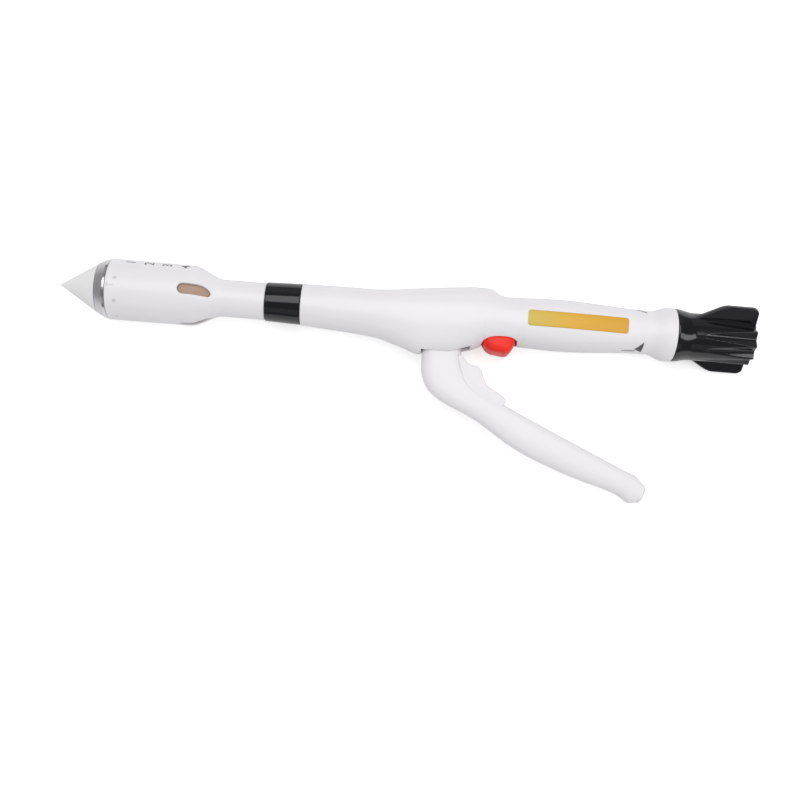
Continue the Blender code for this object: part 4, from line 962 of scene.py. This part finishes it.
# %% Lever
LEVER_HALF, TIP_EDGE, LEVER_SCALE = 6.0, 2.2, 1.12
GRIP_POWER, FAR_POWER = 3.6, 2.7
REAR_EDGE = [(-7.6, 0.4), (-8.2, -8.0), (-7.7, -17.0), (-4.4, -24.5), (3.9, -30.7), (19.6, -37.9)]
REAR_EDGE += [(40.6, -50.8), (65.2, -60.7), (87.1, -67.2), (94.6, -71.4), (98.6, -71.2)]
GRIP_EDGE = [(9.4, 0.4), (10.9, -6.7), (13.0, -14.6), (16.6, -20.0), (23.6, -25.4), (36.8, -31.5)]
GRIP_EDGE += [(54.5, -39.6), (71.9, -47.3), (91.5, -56.0), (97.8, -58.6), (101.4, -62.3)]
t = np.linspace(0, 10, 171)
edges = [np.array(edge) * LEVER_SCALE + PIVOT[:2] for edge in (REAR_EDGE, GRIP_EDGE)]
low, high = [through(edge, t) for edge in edges]
middle, reach = (low + high) / 2, (high - low) / 2
half = np.full(len(t), LEVER_HALF)
last = reach[-1]
length = np.linalg.norm(last)
onward = np.array([last[1], -last[0]]) / length
turn = np.linspace(0, np.pi / 2, 9)[1:, None]
shrink = TIP_EDGE * (1 - np.cos(turn))
middle = np.concatenate([middle, middle[-1] + onward * TIP_EDGE * np.sin(turn)])
reach = np.concatenate([reach, last * (1 - shrink / length)])
half = np.concatenate([half, (LEVER_HALF - shrink)[:, 0]])
around = 2 * np.pi * (np.arange(96) + 0.5) / 96
power = np.where(np.cos(around) > 0, GRIP_POWER, FAR_POWER)
across = np.sign(np.cos(around)) * np.abs(np.cos(around)) ** (2 / power)
height = np.sign(np.sin(around)) * np.abs(np.sin(around)) ** (2 / power)
spots = middle[:, None] + reach[:, None] * across[None, :, None]
handle = np.concatenate([spots, (half[:, None] * height[None])[..., None]], -1)
print("lever rows:", len(handle))

# %% Hub and fork
FORK_HALF, ARM = 7.7, 2.5
hub = tube(*PIVOT[:2], 1.9, 3.1, -FORK_HALF, FORK_HALF)
lean = math.radians(10)
pad = np.array([PIVOT[0] + 13 * math.tan(lean), 0.0])
side = np.array([math.cos(lean), -math.sin(lean)]) * 1.8
arc = np.radians(np.linspace(-130, 130, 25))
head = pad + 2.4 * np.stack([np.sin(lean + arc), np.cos(lean + arc)], 1)
arm = np.concatenate([[PIVOT[:2] + side, PIVOT[:2] - side], head])
arms = [pillow(arm, low_z, low_z + ARM, 0.4) for low_z in (-FORK_HALF, FORK_HALF - ARM)]
handle = patch(handle, around=True, ends=True)
piece("lever_moulding", "lever", white_abs, handle, hub, *arms, stands_for=("firing_lever",))
print("fork arms:", len(arms))

# %% [markdown]
# A stepped stop is let into the lever's grip side. It is a separate, slightly duller moulding, and it
# comes nearly to the lever's flank.

# %% Stop in the lever
STOP_HALF = 5.8
STOP = [(11.0, -7.0), (12.9, -10.3), (15.2, -12.1), (19.5, -12.6), (21.1, -14.6)]
STOP += [(22.3, -18.4), (23.6, -20.6), (25.2, -22.1), (33.1, -26.6), (33.9, -28.9)]
STOP += [(30.4, -33.0), (19.6, -27.7), (12.4, -20.1), (8.8, -8.6)]
stop_outline = rounded(np.array(STOP) * LEVER_SCALE + PIVOT[:2], 1.6, 6)
stop = pillow(stop_outline, -STOP_HALF, STOP_HALF, 0.8)
piece("lever_stop", "lever", insert_abs, stop, stands_for=("lever_insert",))
print("stop outline points:", len(stop_outline))

# %% [markdown]
# ## The safety catch
# The catch is a small red rocker with a thumb tab. Every edge of it is generously round, as a part
# that a thumb works should be. Its outline shrinks towards each flank as a rounded box does, which
# also rounds its plan view to match the slot. A narrower lug takes its pin.

# %% Catch
TAB_SCALE, TAB_HALF, TAB_ROUND = 17.8, 8.9, [0.8, 2.6, 3.0, 3.2, 2.2, 2.4, 3.0, 0.6]
TAB = [(-0.21, -0.14), (-0.21, -0.38), (-0.02, -0.64), (0.33, -0.69)]
TAB += [(0.58, -0.72), (0.72, -0.56), (0.815, -0.33), (0.83, -0.08)]
tab_outline = rounded(np.array(TAB) * TAB_SCALE + CATCH[:2], TAB_ROUND, 8)
tab_middle = CATCH[:2] + (5.5, -6.0)


def rocker(outline, middle, half, rows=41):
    """An outline that shrinks towards its middle: at height z by (1 - |z/half|^4)^(1/4)."""
    height = half * np.sin(np.linspace(-np.pi / 2, np.pi / 2, rows))
    shrink = np.maximum((1 - np.minimum(np.abs(height / half), 1) ** 4) ** 0.25, 0.25)
    return stacked(middle + (outline - middle)[None] * shrink[:, None, None], height)


lug = tube(*CATCH[:2], 1.55, 2.9, -6.0, 6.0)
tab = rocker(tab_outline, tab_middle, TAB_HALF)
piece("catch_rocker", "catch", red_abs, tab, lug, stands_for=("safety_catch",))
print("catch outline points:", len(tab_outline))

# %% [markdown]
# ## The adjusting knob
# The knob's body flares towards the housing and narrows to a waist. Ten flutes run to its rear end
# and deepen on the way, so that crisp ridges are left between them. Two wings rise from the waist in
# an S. The body is one grid in (s, angle), and a wing is a plate that is turned to its angle.

# %% Knob body
KNOB_LENGTH, WAIST, FLARE, FLARE_LENGTH = 42.9, 12.9, 1.6, 10.0
FLUTES, FLUTE_START, FLUTE_DEPTH = 10, 14.5, 2.4
KNOB_FRONT = ends_of("adjusting_knob")[1] - KNOB_LENGTH
KNOB_REAR = KNOB_FRONT + KNOB_LENGTH
WING_ANGLE = math.radians(47)


def knob_radius(s, angle):
    """The body's radius: a smooth step from the flare to the waist, less the flutes.

    A flute's depth grows evenly from its start to the rear end. Across, its floor rises to the ridges
    as a mix of x^2 and sin^2 of x, where x goes from -1 to 1 between two ridges.
    """
    along_knob = s - KNOB_FRONT
    base = WAIST + FLARE * (1 - ease(along_knob / FLARE_LENGTH))
    depth = FLUTE_DEPTH * np.clip((along_knob - FLUTE_START) / (KNOB_LENGTH - FLUTE_START), 0, None)
    pitch = 2 * np.pi / FLUTES
    from_groove = np.mod(angle - WING_ANGLE, pitch) / pitch * 2 - 1
    flute = 0.7 * from_groove**2 + 0.3 * np.sin(np.pi / 2 * from_groove) ** 2
    return np.where(depth > 0, np.minimum(base, base - depth + FLUTE_DEPTH * flute), base)


SIDES, REAR_ROUND = 240, 0.6
angle = WING_ANGLE + 2 * np.pi * np.arange(SIDES)[None] / SIDES
neck = [(345.7, 0.0), (345.7, 2.6), (316.2, 2.6), (316.2, 5.3), (295.9, 5.3), (295.9, 7.6)]
neck += [(297.0, 7.6), (297.0, 6.3), (299.6, 6.3), (299.6, 7.6), (KNOB_FRONT, 7.6)]
neck += [(KNOB_FRONT, 14.1), (KNOB_FRONT + 0.12, 14.38)]
neck = np.array(neck)
rear_s = KNOB_REAR - REAR_ROUND
smooth_s = np.linspace(KNOB_FRONT + 0.4, KNOB_FRONT + 14, 20)
body_s = np.concatenate([smooth_s, np.linspace(KNOB_FRONT + FLUTE_START, rear_s, 44)])
close = np.linspace(0, np.pi / 2, 6)[1:]
neck_r = np.broadcast_to(neck[:, 1:], (len(neck), SIDES))
body_r = knob_radius(body_s[:, None], angle)
rear_r = knob_radius(np.full((5, 1), rear_s), angle) - REAR_ROUND * (1 - np.cos(close))[:, None]
s = np.concatenate([neck[:, 0], body_s, rear_s + REAR_ROUND * np.sin(close), [KNOB_REAR]])
radius = np.concatenate([neck_r, body_r, rear_r, np.zeros((1, SIDES))])
core = patch(wound(s[:, None], radius, angle), around=True)
print("knob rows:", len(s))

# %% Knob wings
WING_HALF, WING_TOP, WING_CORNER, WING_ROOT = 1.6, 20.6, 3.4, 9.5
rise = np.linspace(0, 1, 28)
wing_s = KNOB_FRONT + 10 + 16.5 * rise - 3.5 * (1 - rise) ** 2
wing = np.stack([wing_s, WING_TOP - 8.2 * (1 - ease(rise))], 1)
close = np.linspace(0, np.pi / 2, 10)
corner_s = KNOB_REAR + WING_CORNER * (np.sin(close) - 1)
corner = np.stack([corner_s, WING_TOP + WING_CORNER * (np.cos(close) - 1)], 1)
ends = [(KNOB_FRONT + 6.5, WING_ROOT)], [(KNOB_REAR, WING_ROOT)]
wing = np.concatenate([ends[0], wing, corner, ends[1]])
wings = []
for turn in (WING_ANGLE, WING_ANGLE + math.pi):
    spots, faces = pillow(wing, -WING_HALF, WING_HALF, 0.75, 6)
    out, aside = spots[:, 1], spots[:, 2]
    y = out * math.sin(turn) + aside * math.cos(turn)
    z = out * math.cos(turn) - aside * math.sin(turn)
    wings.append((np.stack([spots[:, 0], y, z], 1), faces))
knob = piece(
    "winged_knob", "knob", black_gloss, core, *wings, stands_for=("adjusting_knob",), sharp=40
)
softened(knob, 0.2, 3, 45)
print("wing points:", len(wing))

# %% [markdown]
# ## Screw thread and staples
# Five turns of the knob move the anvil 25 mm, so the screw's lead is 5 mm, in four starts. The
# staples wait in the cartridge: each is a crown with two legs, and the pushers' fingers drive it out.

# %% Lead screw
LEAD, STARTS, SCREW_RADIUS, THREAD_DEPTH, SCREW_SIDES = 5, 4, 2.1, 0.32, 40
SCREW_FRONT, SCREW_REAR = ends_of("lead_screw")
SCREW_BODY = SCREW_FRONT + 7.7
s = np.linspace(SCREW_BODY + 6, SCREW_REAR - 0.6, 560)[:, None]
angle = circle(SCREW_SIDES)[None]
wave = np.mod(STARTS * (s / LEAD - angle / (2 * np.pi)), 1)
thread = SCREW_RADIUS - THREAD_DEPTH * np.abs(2 * wave - 1)
blank = [(SCREW_FRONT, 0.0), (SCREW_FRONT, 1.2), (SCREW_BODY, 1.2)]
blank = np.array(blank + [(SCREW_BODY, SCREW_RADIUS), (SCREW_BODY + 5.6, SCREW_RADIUS)])
tail = np.array([(SCREW_REAR, 1.6), (SCREW_REAR, 0.0)])
blank_r, tail_r = [np.broadcast_to(end[:, 1:], (len(end), SCREW_SIDES)) for end in (blank, tail)]
radius = np.concatenate([blank_r, thread, tail_r])
s = np.concatenate([blank[:, :1], s, tail[:, :1]])
screw = patch(wound(s, radius, angle), around=True)
piece("threaded_rod", "anvil", ground_steel, screw, stands_for=("lead_screw",))
print("thread rows:", len(s))

# %% Staples
WIRE = 0.14


def bent_wire(path, wire, sides=6):
    """A round wire along a path: rings across it, each at right angles to the path's direction."""
    path = np.asarray(path, float)
    ahead = np.gradient(path, axis=0)
    ahead /= np.linalg.norm(ahead, axis=1, keepdims=True)
    flat = np.array([0.0, 0.0, 1.0])
    beside = np.cross(ahead, flat)
    angle = circle(sides)[None, :, None]
    grid = path[:, None] + wire * (np.cos(angle) * beside[:, None] + np.sin(angle) * flat)
    return patch(grid, around=True, ends=True)


staple = [(1.2, -1.6, 0.0), (4.4, -1.6, 0.0), (4.8, -1.4, 0.0), (4.9, -1.0, 0.0)]
staple += [(4.9, 1.0, 0.0), (4.8, 1.4, 0.0), (4.4, 1.6, 0.0), (1.2, 1.6, 0.0)]
wires = []
for row, radius in enumerate(STAPLE_RADII):
    for turn in 2 * np.pi * (np.arange(STAPLES_IN_ROW) + row / 2) / STAPLES_IN_ROW:
        spots, faces = bent_wire(staple, WIRE)
        y = spots[:, 1] * math.cos(turn) - (spots[:, 2] + radius) * math.sin(turn)
        z = spots[:, 1] * math.sin(turn) + (spots[:, 2] + radius) * math.cos(turn)
        wires.append((np.stack([spots[:, 0], y, z], 1), faces))
piece("staples", "pusher", spring_wire, *wires)
print("staples:", len(wires))

# %% [markdown]
# ## Finish for every solid
# The other inside pieces keep their solids, because their shapes are right as they are. Each one gets
# the finish that the real one has.

# %% Inner pieces
finishes = (
    (ivory, "cutting_ring staple_cartridge staple_pusher push_collar"),
    (ivory, "front_guide rear_guide screw_guide"),
    (ground_steel, "anvil_shaft tie_rod lever_pin catch_pin push_tube"),
    (bright_steel, "thrust_washer circular_knife"),
    (spring_wire, "return_spring retaining_ring"),
    (tan, "driver_sleeve"),
    (brass, "knob_nut"),
)
for finish, nodes in finishes:
    for node in nodes.split():
        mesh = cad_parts[node].data
        mesh.materials.clear()
        mesh.materials.append(finish[0])
print("finished solids:", sum(len(nodes.split()) for finish, nodes in finishes))
